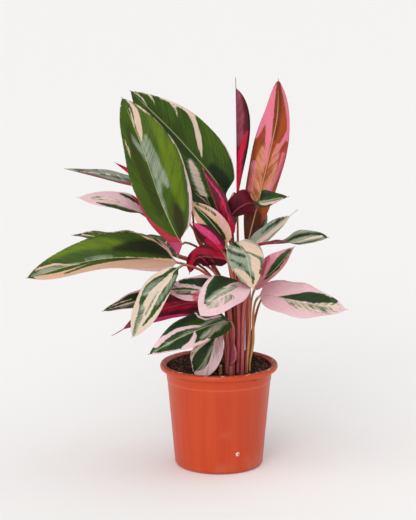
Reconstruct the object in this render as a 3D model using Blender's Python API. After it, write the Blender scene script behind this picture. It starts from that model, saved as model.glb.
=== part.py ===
"""Stromanthe triostar growing in a round plastic nursery pot.

Each leaf is one solid with its own stalk: a tube that rises from a hole in the soil, opens into a
thin blade with a waved edge, and ends in a point. Z is up and the origin is the middle of the pot's
underside. Sizes are in millimetres in the tables and in metres in the model.
"""
import math
from dataclasses import dataclass

import bmesh
import bpy
from mathutils import Vector

MM = 0.001

# Pot
RIM_RADIUS = 85.0
RIM_HEIGHT = 150.0
LIP_DEPTH = 9.0
THROAT_RADIUS = 76.0
BASE_RADIUS = 63.5
BASE_ROUND = 4.0
STEP_HEIGHT = 124.0
STEP_DEPTH = 0.6
WALL = 1.6
FLOOR = 2.4
POT_SIDES = 36
DRAIN_HOLES = 6
DRAIN_RADIUS = 5.0
DRAIN_CIRCLE = 44.0

# Soil
SOIL_LEVEL = 141.0
SOIL_SLOPE = 3.5
SOIL_ROUGH = 1.3
SOIL_RINGS = 5
FIT_GAP = 0.3
HOLE_DEPTH = 16.0
STALK_DEPTH = 13.0
HOLE_SIDES = 8
STUB_PLACE = (2, -37)
STUB_HEIGHT = 14.0

# Leaves
BLADE_THICKNESS = 0.85
BLADE_OPENS = 0.08
RIB_HEIGHT = 1.1
STALK_RADIUS_LOW = 2.5
STALK_RADIUS_HIGH = 1.25
STALK_TAPER = 0.7
KNEE_SWELL = 0.5
KNEE_LENGTH = 12.0
CLEAR_OF_SOIL = 4.0
SHORT_STALK = 20.0
BLADE_ROWS = (0.0, 0.04, 0.1, 0.18, 0.27, 0.36, 0.45, 0.54, 0.63, 0.72, 0.81, 0.89, 0.95, 1.0)
STALK_ROWS = 4
ACROSS = (-1.0, -0.55, 0.0, 0.55, 1.0)
PROFILE_SHARPNESS = 1.45
LEAST_FALL = 0.75
TIP_HALF_WIDTH = 0.35
SIDE_LAG = 0.37
SPINE_SAMPLES = 24
SMOOTH_ANGLE = 40.0

# Colours of the leaves, as seen from a step away
TONES = {
    "green": (0.07, 0.13, 0.035),
    "pale": (0.42, 0.32, 0.24),
    "pink": (0.62, 0.33, 0.33),
    "crimson": (0.36, 0.02, 0.05),
    "burgundy": (0.13, 0.02, 0.025),
    "orange": (0.5, 0.14, 0.09),
}


@dataclass(frozen=True)
class Leaf:
    """One leaf with its stalk.

    stalk holds the points from the soil up to the blade, blade the points of the midrib from base to
    tip, and face the directions of the upper side, evenly spaced from base to tip. fold is how far
    the left and right halves rise from the midrib, and curl how much more they rise by the edge, in
    degrees. wave is the height of the edge's wave, the waves in a blade and where they start.
    halves scale the left and right half, widest is where along the blade it is widest, drip is the
    length of the thread that ends it, and tone names its colour.
    """

    name: str
    stalk: tuple
    blade: tuple
    face: tuple
    width: float
    fold: tuple = (8, 8)
    curl: tuple = (4, 4)
    wave: tuple = (2.0, 2.5, 0.0)
    halves: tuple = (1.0, 1.0)
    widest: float = 0.4
    drip: float = 3.0
    tone: str = "green"


LEAVES = (
    Leaf("leaf_tall_left", ((17, 3), (18, 3, 238), (-8, 5, 290), (-30, 6, 316), (-46, -18, 328)),
         ((-54, -50, 334), (-78, -62, 387), (-107, -68, 472), (-134, -60, 538)),
         ((0.42, -0.85, 0.15), (0.42, -0.85, 0.2), (0.4, -0.85, 0.35)), 92, (18, 18), (6, 4),
         (1.6, 3, 0.1), (0.92, 1.03), 0.46),
    Leaf("leaf_tall_back", ((23, 13), (23, 13, 240), (20, 13, 330)),
         ((9, 12, 388), (-52, 2, 468), (-125, -14, 543)),
         ((0.2, -0.95, 0.2), (0.15, -0.95, 0.25), (0.1, -0.9, 0.45)), 86, (10, 10), (0, 0), (2, 2.5, 0.3)),
    Leaf("leaf_rolled", ((28, 6), (28, 6, 240)),
         ((26, 5, 376), (25, 6, 471), (23, 8, 559)),
         ((0.95, -0.3, 0), (0.95, -0.3, 0), (0.95, -0.3, 0)), 44, (25, 20), (130, 110), (0, 1, 0),
         widest=0.7, drip=16, tone="burgundy"),
    Leaf("leaf_tall_right", ((34, 1), (35, 1, 240)),
         ((39, 2, 311), (57, 9, 389), (70, 14, 445), (82, 14, 505), (83, 10, 557)),
         ((-0.2, 0.97, 0.1), (-0.2, 0.97, 0.1), (-0.35, 0.9, 0.1)), 59, (16, 16), (8, 8), (2, 2.5, 0.2),
         (1.0, 0.84), 0.56, tone="orange"),
    Leaf("leaf_arm_upper", ((14, 15), (14, 15, 238), (-12, 15, 292), (-34, 6, 335)),
         ((-44, -2, 384), (-142, -12, 413), (-217, -22, 434)),
         ((0.2, -0.15, 0.95), (0.2, -0.2, 0.95), (0.2, -0.3, 0.9)), 38, (26, 26), (10, 10), (1.5, 2.5, 0.2)),
    Leaf("leaf_spike_left", ((15, 22), (14, 22, 240), (-14, 21, 300)),
         ((-49, 16, 358), (-101, 18, 399), (-149, 18, 438)),
         ((0.5, 0.6, 0.6), (0.5, 0.6, 0.6), (0.5, 0.6, 0.6)), 26, (50, 50), (10, 10), (1, 2, 0),
         tone="crimson"),
    Leaf("leaf_arm_pink", ((12, 8), (14, 8, 234), (-10, 11, 284), (-44, 9, 299), (-60, -5, 306)),
         ((-57, -24, 311), (-82, -31, 349), (-131, -42, 385), (-198, -52, 398)),
         ((0.7, 0.6, 0.4), (0.6, 0.4, 0.7), (0, -0.6, 0.8), (0, -0.8, 0.6)), 48, (12, 12), (8, 8), (2, 2, 0),
         tone="pink"),
    Leaf("leaf_broad_left", ((12, -6), (14, -8, 230), (-14, -20, 281), (-38, -29, 295)),
         ((-57, -40, 303), (-155, -74, 316), (-266, -95, 292)),
         ((0.1, -0.6, 0.8), (0.1, -0.55, 0.84), (0, -0.6, 0.8)), 80, (18, 20), (4, 6), (5.5, 1, -0.3),
         (1.05, 0.95), 0.44),
    Leaf("leaf_broad_left_back", ((9, 26), (9, 26, 225), (-20, 18, 282)),
         ((-61, 4, 304), (-127, 15, 325), (-212, 15, 333)),
         ((0, -0.2, 0.97), (0, -0.2, 0.97), (0, -0.3, 0.95)), 42, (10, 10), (4, 4), (2.5, 3, 0.4)),
    Leaf("leaf_hanging_left", ((12, -13), (14, -16, 226), (-14, -28, 280), (-40, -52, 301)),
         ((-56, -80, 304), (-83, -95, 279), (-101, -99, 246), (-121, -99, 208)),
         ((-0.1, -0.85, 0.5), (-0.2, -0.95, 0.3), (-0.3, -0.9, 0.25)), 40, (10, 10), (6, 6),
         (1.5, 2.5, 0), widest=0.5, tone="pale"),
    Leaf("leaf_low_left", ((12, -19), (8, -17, 205), (-16, -16, 256)),
         ((-53, -14, 267), (-111, -34, 248), (-165, -52, 236)),
         ((0, -0.5, 0.86), (0, -0.5, 0.86), (0, -0.5, 0.86)), 36, (12, 12), (4, 4), (1.5, 2.5, 0.3)),
    Leaf("leaf_magenta_low", ((11, -25), (8, -23, 190)),
         ((-14, -26, 240), (-82, -50, 238), (-151, -72, 205)),
         ((0, 0.95, 0.3), (0, 0.95, 0.3), (0.1, 0.95, 0.2)), 48, (8, 8), (8, 8), (2, 2.5, 0), widest=0.3,
         drip=20, tone="crimson"),
    Leaf("leaf_low_mid", ((18, -25), (17, -29, 220)),
         ((8, -38, 259), (-33, -52, 266), (-79, -55, 266)),
         ((0, -0.75, 0.65), (0, -0.75, 0.65), (0, -0.75, 0.65)), 44, (8, 8), (6, 6), (2, 2.5, 0),
         tone="pink"),
    Leaf("leaf_crimson_mid", ((19, -17), (23, -17, 235)),
         ((16, -16, 299), (-9, -12, 306), (-33, -9, 303), (-43, -8, 280)),
         ((0.1, 0.9, 0.4), (-0.1, 0.95, 0.3), (-0.4, 0.9, 0)), 34, (8, 8), (6, 6), (3, 2.5, 0),
         tone="crimson"),
    Leaf("leaf_front_mid", ((33, -31), (34, -35, 225)),
         ((36, -54, 272), (4, -97, 270), (-28, -119, 243)),
         ((-0.1, -0.6, 0.8), (-0.1, -0.8, 0.6), (-0.2, -0.9, 0.4)), 58, (8, 8), (4, 4), (1.5, 2, 0),
         widest=0.5, tone="pink"),
    Leaf("leaf_front_low", ((20, -32), (20, -34, 180)),
         ((16, -58, 221), (-41, -102, 216), (-98, -124, 191)),
         ((-0.1, -0.7, 0.7), (-0.1, -0.8, 0.6), (-0.1, -0.8, 0.6)), 51, (10, 10), (4, 4), (2, 2.5, 0.2)),
    Leaf("leaf_pot_edge", ((12, -31), (13, -35, 180)),
         ((8, -43, 207), (-12, -55, 180), (-28, -55, 155), (-38, -50, 145)),
         ((-0.2, -0.5, 0.8), (-0.3, -0.9, 0.4), (-0.3, -0.9, 0.3)), 46, (8, 8), (4, 4), (1, 2, 0),
         widest=0.62),
    Leaf("leaf_front_top", ((33, -22), (34, -24, 240), (31, -24, 318)),
         ((24, -42, 333), (37, -63, 318), (42, -75, 297), (47, -81, 272)),
         ((-0.1, -0.4, 0.9), (0.1, -0.9, 0.35), (0.1, -0.95, 0.2)), 54, (8, 8), (4, 4), (2, 2.5, 0.2),
         (0.84, 1.04), tone="pale"),
    Leaf("leaf_cup_right", ((39, -28), (43, -29, 200)),
         ((50, -35, 264), (80, -48, 297), (106, -44, 328)),
         ((-0.6, -0.6, 0.5), (-0.6, -0.6, 0.5), (-0.6, -0.6, 0.5)), 46, (22, 22), (14, 14), (1.5, 2, 0),
         tone="pink"),
    Leaf("leaf_arm_right", ((40, -13), (40, -14, 240)),
         ((44, -18, 317), (99, -32, 331), (154, -42, 340)),
         ((0, 0.4, 0.9), (0, 0.15, 0.98), (0, -0.3, 0.95), (0, -0.5, 0.87)), 42, (12, 12),
         (6, 6), (1.5, 2, 0), widest=0.6, tone="pale"),
    Leaf("leaf_arm_right_up", ((41, -5), (42, -5, 240)),
         ((45, -6, 315), (72, -1, 341), (112, 2, 372)),
         ((-0.55, -0.8, 0.2), (-0.5, -0.8, 0.3), (-0.4, -0.7, 0.6)), 24, (14, 14), (6, 6), (1.2, 2, 0),
         drip=14, tone="pale"),
    Leaf("leaf_blue_back", ((42, 10), (44, 14, 240)),
         ((47, 22, 317), (59, 32, 344), (68, 36, 374)),
         ((-0.7, -0.7, 0.2), (-0.7, -0.7, 0.2), (-0.7, -0.7, 0.2)), 32, (10, 10), (4, 4), (1, 2, 0)),
    Leaf("leaf_twist_right", ((26, -11), (27, -12, 250), (19, -14, 320)),
         ((14, -20, 362), (36, -32, 385), (59, -40, 390), (97, -46, 398)),
         ((-0.1, 0.95, 0.3), (0, 0.9, 0.4), (0.1, -0.5, 0.85), (0.1, -0.5, 0.85)), 42, (10, 10), (6, 6),
         (2, 2, 0), widest=0.45, tone="burgundy"),
    Leaf("leaf_rolled_red", ((33, -11), (32, -15, 250)),
         ((14, -30, 334), (-6, -34, 387), (-24, -28, 438)),
         ((0.8, 0.5, 0), (0.8, 0.5, 0), (0.8, 0.5, 0)), 36, (35, 35), (20, 20), (1.5, 2, 0),
         tone="burgundy"),
    Leaf("leaf_peach_mid", ((26, -22), (26, -25, 250)),
         ((10, -42, 329), (-12, -44, 362), (-42, -38, 391)),
         ((-0.2, -0.9, 0.3), (-0.2, -0.9, 0.3), (-0.2, -0.9, 0.3)), 36, (8, 8), (4, 4), (1.5, 2, 0),
         tone="pale"),
    Leaf("leaf_crimson_edge", ((27, -28), (27, -32, 240), (14, -41, 300)),
         ((4, -48, 322), (-16, -55, 343), (-39, -56, 364)),
         ((0.3, 0.9, 0.2), (0.3, 0.9, 0.2), (0.3, 0.9, 0.2)), 30, (10, 10), (6, 6), (1, 2, 0),
         tone="burgundy"),
    Leaf("leaf_broad_right", ((43, -20), (48, -20, 180)),
         ((56, -30, 252), (114, -50, 248), (180, -60, 240)),
         ((0, -0.68, 0.73), (0, -0.68, 0.73), (0.1, -0.75, 0.65)), 60, (8, 8), (6, 6), (2.5, 2.5, 0),
         tone="pink"),
    Leaf("leaf_far_left_high", ((21, 27), (19, 32, 260)),
         ((-5, 44, 352), (-42, 78, 424), (-74, 102, 486)),
         ((0.3, -0.7, 0.6), (0.3, -0.7, 0.6), (0.2, -0.5, 0.8)), 66, (12, 12), (6, 6), (2, 2.5, 0)),
    Leaf("leaf_far_right_high", ((35, 20), (38, 28, 250)),
         ((47, 58, 328), (66, 92, 398), (80, 122, 452)),
         ((-0.8, -0.2, 0.55), (-0.8, -0.2, 0.55), (-0.7, -0.2, 0.7)), 52, (12, 12), (6, 6), (2, 2.5, 0.2),
         tone="pink"),
    Leaf("leaf_far_mid", ((28, 20), (26, 26, 250)),
         ((20, 54, 328), (10, 112, 358), (2, 172, 340)),
         ((-0.7, 0, 0.7), (-0.6, 0, 0.8), (-0.5, 0.2, 0.85)), 54, (12, 12), (6, 6), (2.5, 2.5, 0.4)),
    Leaf("leaf_far_low", ((31, 13), (32, 22, 210)),
         ((33, 44, 250), (35, 96, 262), (38, 152, 236)),
         ((-0.9, 0, 0.4), (-0.85, 0, 0.5), (-0.8, 0, 0.6)), 54, (12, 12), (6, 6), (2.5, 2.5, 0),
         tone="pink"),
    Leaf("leaf_far_left_low", ((12, 30), (8, 33, 200)),
         ((-22, 42, 240), (-66, 70, 240), (-98, 96, 214)),
         ((0, -0.1, 1), (0, -0.1, 1), (-0.2, 0, 1)), 48, (12, 12), (6, 6), (2.5, 2.5, 0), tone="pale"),
    Leaf("leaf_far_right_low", ((43, 22), (48, 28, 185)),
         ((66, 36, 240), (110, 66, 242), (148, 100, 218)),
         ((0, -0.1, 1), (0, -0.1, 1), (0.2, 0, 1)), 52, (12, 12), (6, 6), (2.5, 2.5, 0)),
    Leaf("leaf_far_left_mid", ((22, 35), (18, 38, 225), (-14, 38, 282)),
         ((-62, 52, 298), (-106, 88, 308), (-152, 122, 288)),
         ((0, -0.2, 0.97), (0, -0.1, 1), (0, 0, 1)), 60, (12, 12), (6, 6), (2.5, 3, 0)),
    Leaf("shoot_sheath", ((17, -42), (17, -42, 156)),
         ((17, -42, 158), (18, -43, 172), (21, -43, 192)),
         ((0.8, 0.5, 0), (0.8, 0.5, 0), (0.8, 0.5, 0)), 15, (30, 30), (50, 50), (0, 1, 0), widest=0.35,
         tone="pink"),
)


def unit(vector):
    """Return the vector at length 1."""
    return Vector(vector).normalized()


def spline_point(points, place):
    """Return the point at a place of a smooth curve through points; place counts the points."""
    last = len(points) - 1
    index = min(int(place), last - 1)
    share = place - index
    before = points[index - 1] if index > 0 else points[0] * 2 - points[1]
    after = points[index + 2] if index + 2 <= last else points[last] * 2 - points[last - 1]
    corners = (before, points[index], points[index + 1], after)
    knots = [0.0]
    for start, end in zip(corners, corners[1:]):
        knots.append(knots[-1] + max((end - start).length, 1e-6) ** 0.5)
    at = knots[1] + share * (knots[2] - knots[1])

    def between(first, second, low, high):
        """Return the mix of two points for the knot value at."""
        return first * ((high - at) / (high - low)) + second * ((at - low) / (high - low))

    a1 = between(corners[0], corners[1], knots[0], knots[1])
    a2 = between(corners[1], corners[2], knots[1], knots[2])
    a3 = between(corners[2], corners[3], knots[2], knots[3])
    b1 = between(a1, a2, knots[0], knots[2])
    b2 = between(a2, a3, knots[1], knots[3])
    return between(b1, b2, knots[1], knots[2])


class Spine:
    """The middle line of a leaf, from the foot of its stalk to its tip."""

    def __init__(self, leaf):
        x, y = leaf.stalk[0][:2]
        points = [Vector((x, y, SOIL_LEVEL + lift)) for lift in (-STALK_DEPTH, 2, 12)]
        points += [Vector(point) for point in leaf.stalk[1:]]
        first_blade_point = len(points)
        points += [Vector(point) for point in leaf.blade]
        self.points = points
        sample_count = (len(points) - 1) * SPINE_SAMPLES + 1
        self.places = [i / SPINE_SAMPLES for i in range(sample_count)]
        spots = [spline_point(points, place) for place in self.places]
        self.lengths = [0.0]
        for start, end in zip(spots, spots[1:]):
            self.lengths.append(self.lengths[-1] + (end - start).length)
        self.blade_start = self.lengths[first_blade_point * SPINE_SAMPLES]
        self.total = self.lengths[-1]

    def at(self, length):
        """Return the point and the direction at a length along the line."""
        length = min(max(length, 0.0), self.total)
        index = max(i for i, value in enumerate(self.lengths[:-1]) if value <= length)
        span = self.lengths[index + 1] - self.lengths[index]
        share = (length - self.lengths[index]) / span
        place = self.places[index] + share * (self.places[index + 1] - self.places[index])
        step = 0.01
        low = max(place - step, 0.0)
        high = min(place + step, len(self.points) - 1.0)
        direction = spline_point(self.points, high) - spline_point(self.points, low)
        return spline_point(self.points, place), direction.normalized()


def face_at(leaf, t):
    """Return the direction of the upper side at t, from 0 at the blade's base to 1 at its tip."""
    faces = [unit(face) for face in leaf.face]
    place = t * (len(faces) - 1)
    index = min(int(place), len(faces) - 2)
    share = place - index
    share = share * share * (3 - 2 * share)
    return faces[index].lerp(faces[index + 1], share)


def blade_profile(leaf, t):
    """Return the share of the full half width that the blade has at t."""
    length = sum((Vector(b) - Vector(a)).length for a, b in zip(leaf.blade, leaf.blade[1:]))
    t = min(t / (1 - leaf.drip / length), 1.0)
    fall = max(PROFILE_SHARPNESS * (1 - leaf.widest), LEAST_FALL)
    rise = fall * leaf.widest / (1 - leaf.widest)
    top = leaf.widest ** rise * (1 - leaf.widest) ** fall
    return t ** rise * (1 - t) ** fall / top


def arc_offset(fold, curl, reach):
    """Return how far out and up an arc gets over a reach when it starts at fold and turns by curl."""
    start = math.radians(fold)
    turn = math.radians(curl)
    if abs(turn) < 1e-3:
        return reach * math.cos(start), reach * math.sin(start)
    radius = reach / turn
    return (radius * (math.sin(start + turn) - math.sin(start)),
            radius * (math.cos(start) - math.cos(start + turn)))


def blade_point(leaf, t, u):
    """Return the sideways and upward offset of the blade at t and u, and the slope of the surface.

    u runs from -1 at the left edge through 0 at the midrib to 1 at the right edge.
    """
    side = 1 if u > 0 else 0
    half = leaf.width / 2 * leaf.halves[side] * blade_profile(leaf, t) + TIP_HALF_WIDTH
    part = abs(u)
    out, up = arc_offset(leaf.fold[side], leaf.curl[side] * part, half * part)
    height, count, phase = leaf.wave
    calm = math.sin(math.pi * min(t * 1.05, 1.0)) ** 0.5
    turn = 2 * math.pi * (count * t + phase + SIDE_LAG * side)
    up += height * part * part * calm * math.sin(turn)
    slope = math.radians(leaf.fold[side] + leaf.curl[side] * part)
    sign = 1 if side else -1
    return sign * out, up, sign * slope


def stalk_ring(radius):
    """Return the offsets of a round ring in the order of blade_ring's points."""
    count = len(ACROSS)
    angles = [math.pi * (1 - (i + 0.5) / count) for i in range(count)]
    angles += [-angle for angle in reversed(angles)]
    return [(radius * math.cos(angle), radius * math.sin(angle)) for angle in angles]


def blade_ring(leaf, t):
    """Return the offsets of one closed ring of the blade: its upper side, then its lower side."""
    upper, lower = [], []
    for u in ACROSS:
        out, up, slope = blade_point(leaf, t, u)
        normal = (-math.sin(slope), math.cos(slope))
        half = BLADE_THICKNESS / 2
        rib = RIB_HEIGHT * (1 - t) if u == 0 else 0.0
        upper.append((out + normal[0] * half, up + normal[1] * half))
        lower.append((out - normal[0] * half, up - normal[1] * (half + rib)))
    return upper + lower[::-1]


def leaf_rings(leaf):
    """Return the rings of points, in millimetres, from the foot of the stalk to the tip."""
    spine = Spine(leaf)
    blade_length = spine.total - spine.blade_start
    rings = []
    side_at_base = None
    for t in BLADE_ROWS:
        point, along = spine.at(spine.blade_start + t * blade_length)
        side = along.cross(face_at(leaf, t)).normalized()
        up = side.cross(along)
        if side_at_base is None:
            side_at_base = side
        opened = min(t / BLADE_OPENS, 1.0)
        opened = opened * opened * (3 - 2 * opened)
        ring = []
        for (a, b), (c, d) in zip(stalk_ring(STALK_RADIUS_HIGH + KNEE_SWELL), blade_ring(leaf, t)):
            out = a + (c - a) * opened
            rise = b + (d - b) * opened
            ring.append(point + side * out + up * rise)
        rings.append(ring)
    side = side_at_base
    lower_rings = []
    soil_length = STALK_DEPTH + CLEAR_OF_SOIL
    free_length = max(spine.blade_start - KNEE_LENGTH - soil_length, 1.0)
    free_rows = STALK_ROWS if free_length > SHORT_STALK else 1
    lengths = [soil_length + free_length * (1 - row / free_rows) for row in range(free_rows + 1)]
    for length in lengths + [0.0]:
        point, along = spine.at(length)
        side = (side - along * side.dot(along)).normalized()
        up = side.cross(along)
        share = min((spine.blade_start - length) / (spine.blade_start - soil_length), 1.0)
        radius = STALK_RADIUS_HIGH + (STALK_RADIUS_LOW - STALK_RADIUS_HIGH) * share ** STALK_TAPER
        lower_rings.append([point + side * out + up * rise for out, rise in stalk_ring(radius)])
    return lower_rings[::-1] + rings


def ring_faces(ring_count, ring_size):
    """Return triangles that join the rings, split alike on the upper and the lower side."""
    faces = []
    half = ring_size // 2
    for i in range(ring_count - 1):
        for k in range(ring_size):
            following = (k + 1) % ring_size
            a, b = i * ring_size + k, i * ring_size + following
            c, d = b + ring_size, a + ring_size
            on_upper = k < half
            column = k if on_upper else ring_size - 2 - k
            right_half = column >= (half - 1) // 2
            if k in (half - 1, ring_size - 1) or on_upper == right_half:
                faces += [(a, b, c), (a, c, d)]
            else:
                faces += [(a, b, d), (b, c, d)]
    faces.append(tuple(reversed(range(ring_size))))
    faces.append(tuple((ring_count - 1) * ring_size + k for k in range(ring_size)))
    return faces


def make_material(name, colour, roughness, metallic=0.0):
    """Return a new plain material."""
    material = bpy.data.materials.new(name)
    material.use_nodes = True
    shader = material.node_tree.nodes["Principled BSDF"]
    shader.inputs["Base Color"].default_value = (*colour, 1.0)
    shader.inputs["Roughness"].default_value = roughness
    shader.inputs["Metallic"].default_value = metallic
    return material


def add_object(name, points, faces, material):
    """Add a mesh object from points in millimetres, with its faces turned outwards."""
    mesh = bpy.data.meshes.new(name)
    mesh.from_pydata([tuple(Vector(point) * MM) for point in points], [], faces)
    work = bmesh.new()
    work.from_mesh(mesh)
    bmesh.ops.recalc_face_normals(work, faces=work.faces)
    work.to_mesh(mesh)
    work.free()
    mesh.materials.append(material)
    item = bpy.data.objects.new(name, mesh)
    bpy.context.collection.objects.link(item)
    return item


def leaf_object(leaf, material):
    """Add one leaf with its stalk."""
    rings = leaf_rings(leaf)
    points = [point for ring in rings for point in ring]
    return add_object(leaf.name, points, ring_faces(len(rings), len(rings[0])), material)


def wall_radius(height):
    """Return the pot's outer radius at a height, below its lip."""
    return BASE_RADIUS + (THROAT_RADIUS - BASE_RADIUS) * height / (RIM_HEIGHT - LIP_DEPTH)


def pot_profile():
    """Return the pot's section as radius and height, from the middle of its underside round to inside."""
    under_lip = RIM_HEIGHT - LIP_DEPTH
    outside = [
        (0, 0), (BASE_RADIUS - BASE_ROUND, 0), (BASE_RADIUS - BASE_ROUND * 0.3, BASE_ROUND * 0.3),
        (wall_radius(BASE_ROUND), BASE_ROUND), (wall_radius(STEP_HEIGHT), STEP_HEIGHT),
        (wall_radius(STEP_HEIGHT + 1.5) + STEP_DEPTH, STEP_HEIGHT + 1.5),
        (THROAT_RADIUS + STEP_DEPTH, under_lip)]
    lip = [
        (RIM_RADIUS - 2.0, under_lip + 0.2), (RIM_RADIUS - 0.4, under_lip + 1.6),
        (RIM_RADIUS, under_lip + 4.5), (RIM_RADIUS - 1.2, RIM_HEIGHT - 1.2),
        (RIM_RADIUS - 3.5, RIM_HEIGHT), (RIM_RADIUS - 6.5, RIM_HEIGHT - 0.8)]
    inside = [
        (THROAT_RADIUS - WALL + 0.8, under_lip + 4.5), (THROAT_RADIUS - WALL, under_lip),
        (wall_radius(FLOOR + 2) - WALL, FLOOR + 2), (BASE_RADIUS - WALL - 2, FLOOR), (0, FLOOR)]
    return outside + lip + inside


def soil_height(x, y):
    """Return the height of the soil's surface, higher at the far side and lumpy all over."""
    lumps = math.sin(x / 9 + 1) * math.cos(y / 7) + 0.6 * math.sin(x / 4.3 - y / 5.1)
    return SOIL_LEVEL + SOIL_SLOPE * y / THROAT_RADIUS + SOIL_ROUGH * lumps


def ring_of(radius, height, sides):
    """Return a level ring of points round the pot's axis."""
    turns = [2 * math.pi * i / sides for i in range(sides)]
    return [Vector((radius * math.cos(turn), radius * math.sin(turn), height)) for turn in turns]


def closed_turning(rings, first_pole, last_pole):
    """Return the points and faces of a body whose rings run from one pole to the other."""
    points = [first_pole] + [point for ring in rings for point in ring] + [last_pole]
    sides = len(rings[0])
    faces = []
    for k in range(sides):
        following = (k + 1) % sides
        faces.append((0, 1 + following, 1 + k))
        for i in range(len(rings) - 1):
            a, b = 1 + i * sides + k, 1 + i * sides + following
            faces += [(a, b, b + sides), (a, b + sides, a + sides)]
        top = 1 + (len(rings) - 1) * sides
        faces.append((top + k, top + following, len(points) - 1))
    return points, faces


def pot_object():
    """Add the pot, a thin turned wall with drain holes in its floor."""
    profile = pot_profile()
    rings = [ring_of(radius, height, POT_SIDES) for radius, height in profile[1:-1]]
    points, faces = closed_turning(rings, Vector((0, 0, 0)), Vector((0, 0, FLOOR)))
    material = make_material("terracotta_plastic", (0.62, 0.13, 0.05), 0.4)
    pot = add_object("pot", points, faces, material)
    drains = []
    for index in range(DRAIN_HOLES):
        turn = 2 * math.pi * (index + 0.5) / DRAIN_HOLES
        place = (DRAIN_CIRCLE * math.cos(turn), DRAIN_CIRCLE * math.sin(turn))
        drains.append(cutter_object(f"drain_cutter_{index}", place, DRAIN_RADIUS, (-5, FLOOR + 1.5), 12))
    cut_away(pot, drains, "drain_cutters")
    return pot


def soil_object():
    """Add the soil, which fills the pot, with a plain hole for each stalk."""
    inner = wall_radius(FLOOR + 2) - WALL - FIT_GAP
    rim = THROAT_RADIUS - WALL - FIT_GAP
    low = FLOOR + FIT_GAP
    rings = [ring_of(BASE_RADIUS - WALL - 2 - FIT_GAP, low, POT_SIDES), ring_of(inner, low + 2, POT_SIDES)]
    edge = ring_of(rim - 0.6, 0, POT_SIDES)
    rings.append([Vector((point.x, point.y, soil_height(point.x, point.y) - 2)) for point in edge])
    for ring in range(SOIL_RINGS, 0, -1):
        level = ring_of((rim - 3) * ring / SOIL_RINGS, 0, POT_SIDES)
        rings.append([Vector((point.x, point.y, soil_height(point.x, point.y))) for point in level])
    centre = Vector((0, 0, soil_height(0, 0)))
    points, faces = closed_turning(rings, Vector((0, 0, low)), centre)
    soil = add_object("soil", points, faces, make_material("potting_soil", (0.03, 0.018, 0.012), 0.95))
    half_side = math.cos(math.pi / HOLE_SIDES)
    radius = (STALK_RADIUS_LOW + FIT_GAP) / half_side
    span = (SOIL_LEVEL - HOLE_DEPTH, SOIL_LEVEL + 12)
    places = [leaf.stalk[0][:2] for leaf in LEAVES] + [STUB_PLACE]
    holes = [cutter_object(f"hole_cutter_{index}", place, radius, span, HOLE_SIDES)
             for index, place in enumerate(places)]
    cut_away(soil, holes, "hole_cutters")
    return soil


def cutter_object(name, place, radius, span, sides):
    """Add a hidden upright prism that cuts a round hole at a place between two heights."""
    low, high = span
    rings = [ring_of(radius, low, sides), ring_of(radius, high, sides)]
    points, faces = closed_turning(rings, Vector((0, 0, low)), Vector((0, 0, high)))
    mesh = bpy.data.meshes.new(name)
    mesh.from_pydata([tuple(point * MM) for point in points], [], faces)
    cutter = bpy.data.objects.new(name, mesh)
    cutter.location = (place[0] * MM, place[1] * MM, 0)
    cutter.hide_render = True
    cutter.display_type = "WIRE"
    return cutter


def cut_away(item, cutters, name):
    """Cut the cutters out of an object, apply the cut and remove them."""
    group = bpy.data.collections.new(name)
    bpy.context.scene.collection.children.link(group)
    for cutter in cutters:
        group.objects.link(cutter)
    cut = item.modifiers.new(name, "BOOLEAN")
    cut.operation = "DIFFERENCE"
    cut.operand_type = "COLLECTION"
    cut.collection = group
    cut.solver = "EXACT"
    bpy.context.view_layer.update()
    result = bpy.data.meshes.new_from_object(item.evaluated_get(bpy.context.evaluated_depsgraph_get()))
    item.modifiers.remove(cut)
    item.data = result
    for cutter in cutters:
        bpy.data.objects.remove(cutter)
    bpy.data.collections.remove(group)


def stub_object():
    """Add the stub of a stalk that was cut off above the soil."""
    x, y = STUB_PLACE
    low = SOIL_LEVEL - STALK_DEPTH
    high = SOIL_LEVEL + STUB_HEIGHT
    sizes = ((STALK_RADIUS_LOW, low), (STALK_RADIUS_LOW, high - 3), (STALK_RADIUS_LOW * 0.7, high))
    rings = [ring_of(radius, height, HOLE_SIDES) for radius, height in sizes]
    points, faces = closed_turning(rings, Vector((0, 0, low)), Vector((0, 0, high - 0.6)))
    stub = add_object("cut_stub", points, faces, make_material("dry_stalk", (0.45, 0.16, 0.06), 0.7))
    stub.location = (x * MM, y * MM, 0)
    return stub


def main():
    """Build the pot, the soil and the plant."""
    for item in list(bpy.data.objects):
        bpy.data.objects.remove(item)
    pot_object()
    soil_object()
    stub_object()
    for leaf in LEAVES:
        leaf_object(leaf, make_material(f"{leaf.name}_colour", TONES[leaf.tone], 0.4))
    for item in bpy.data.objects:
        item.data.shade_smooth()
        item.data.set_sharp_from_angle(angle=math.radians(SMOOTH_ANGLE))


if __name__ == "__main__":
    main()
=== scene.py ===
"""Stromanthe triostar growing in a round plastic nursery pot, finished for a studio view.

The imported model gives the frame. Every leaf is rebuilt finely from the same named sizes, with its
markings painted as strokes along the blade, and the pot and the soil are made by Geometry Nodes.
Tables are in millimetres and degrees; meshes are in metres.
"""
import logging
import math
from dataclasses import dataclass
from enum import Enum
from typing import Any

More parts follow.
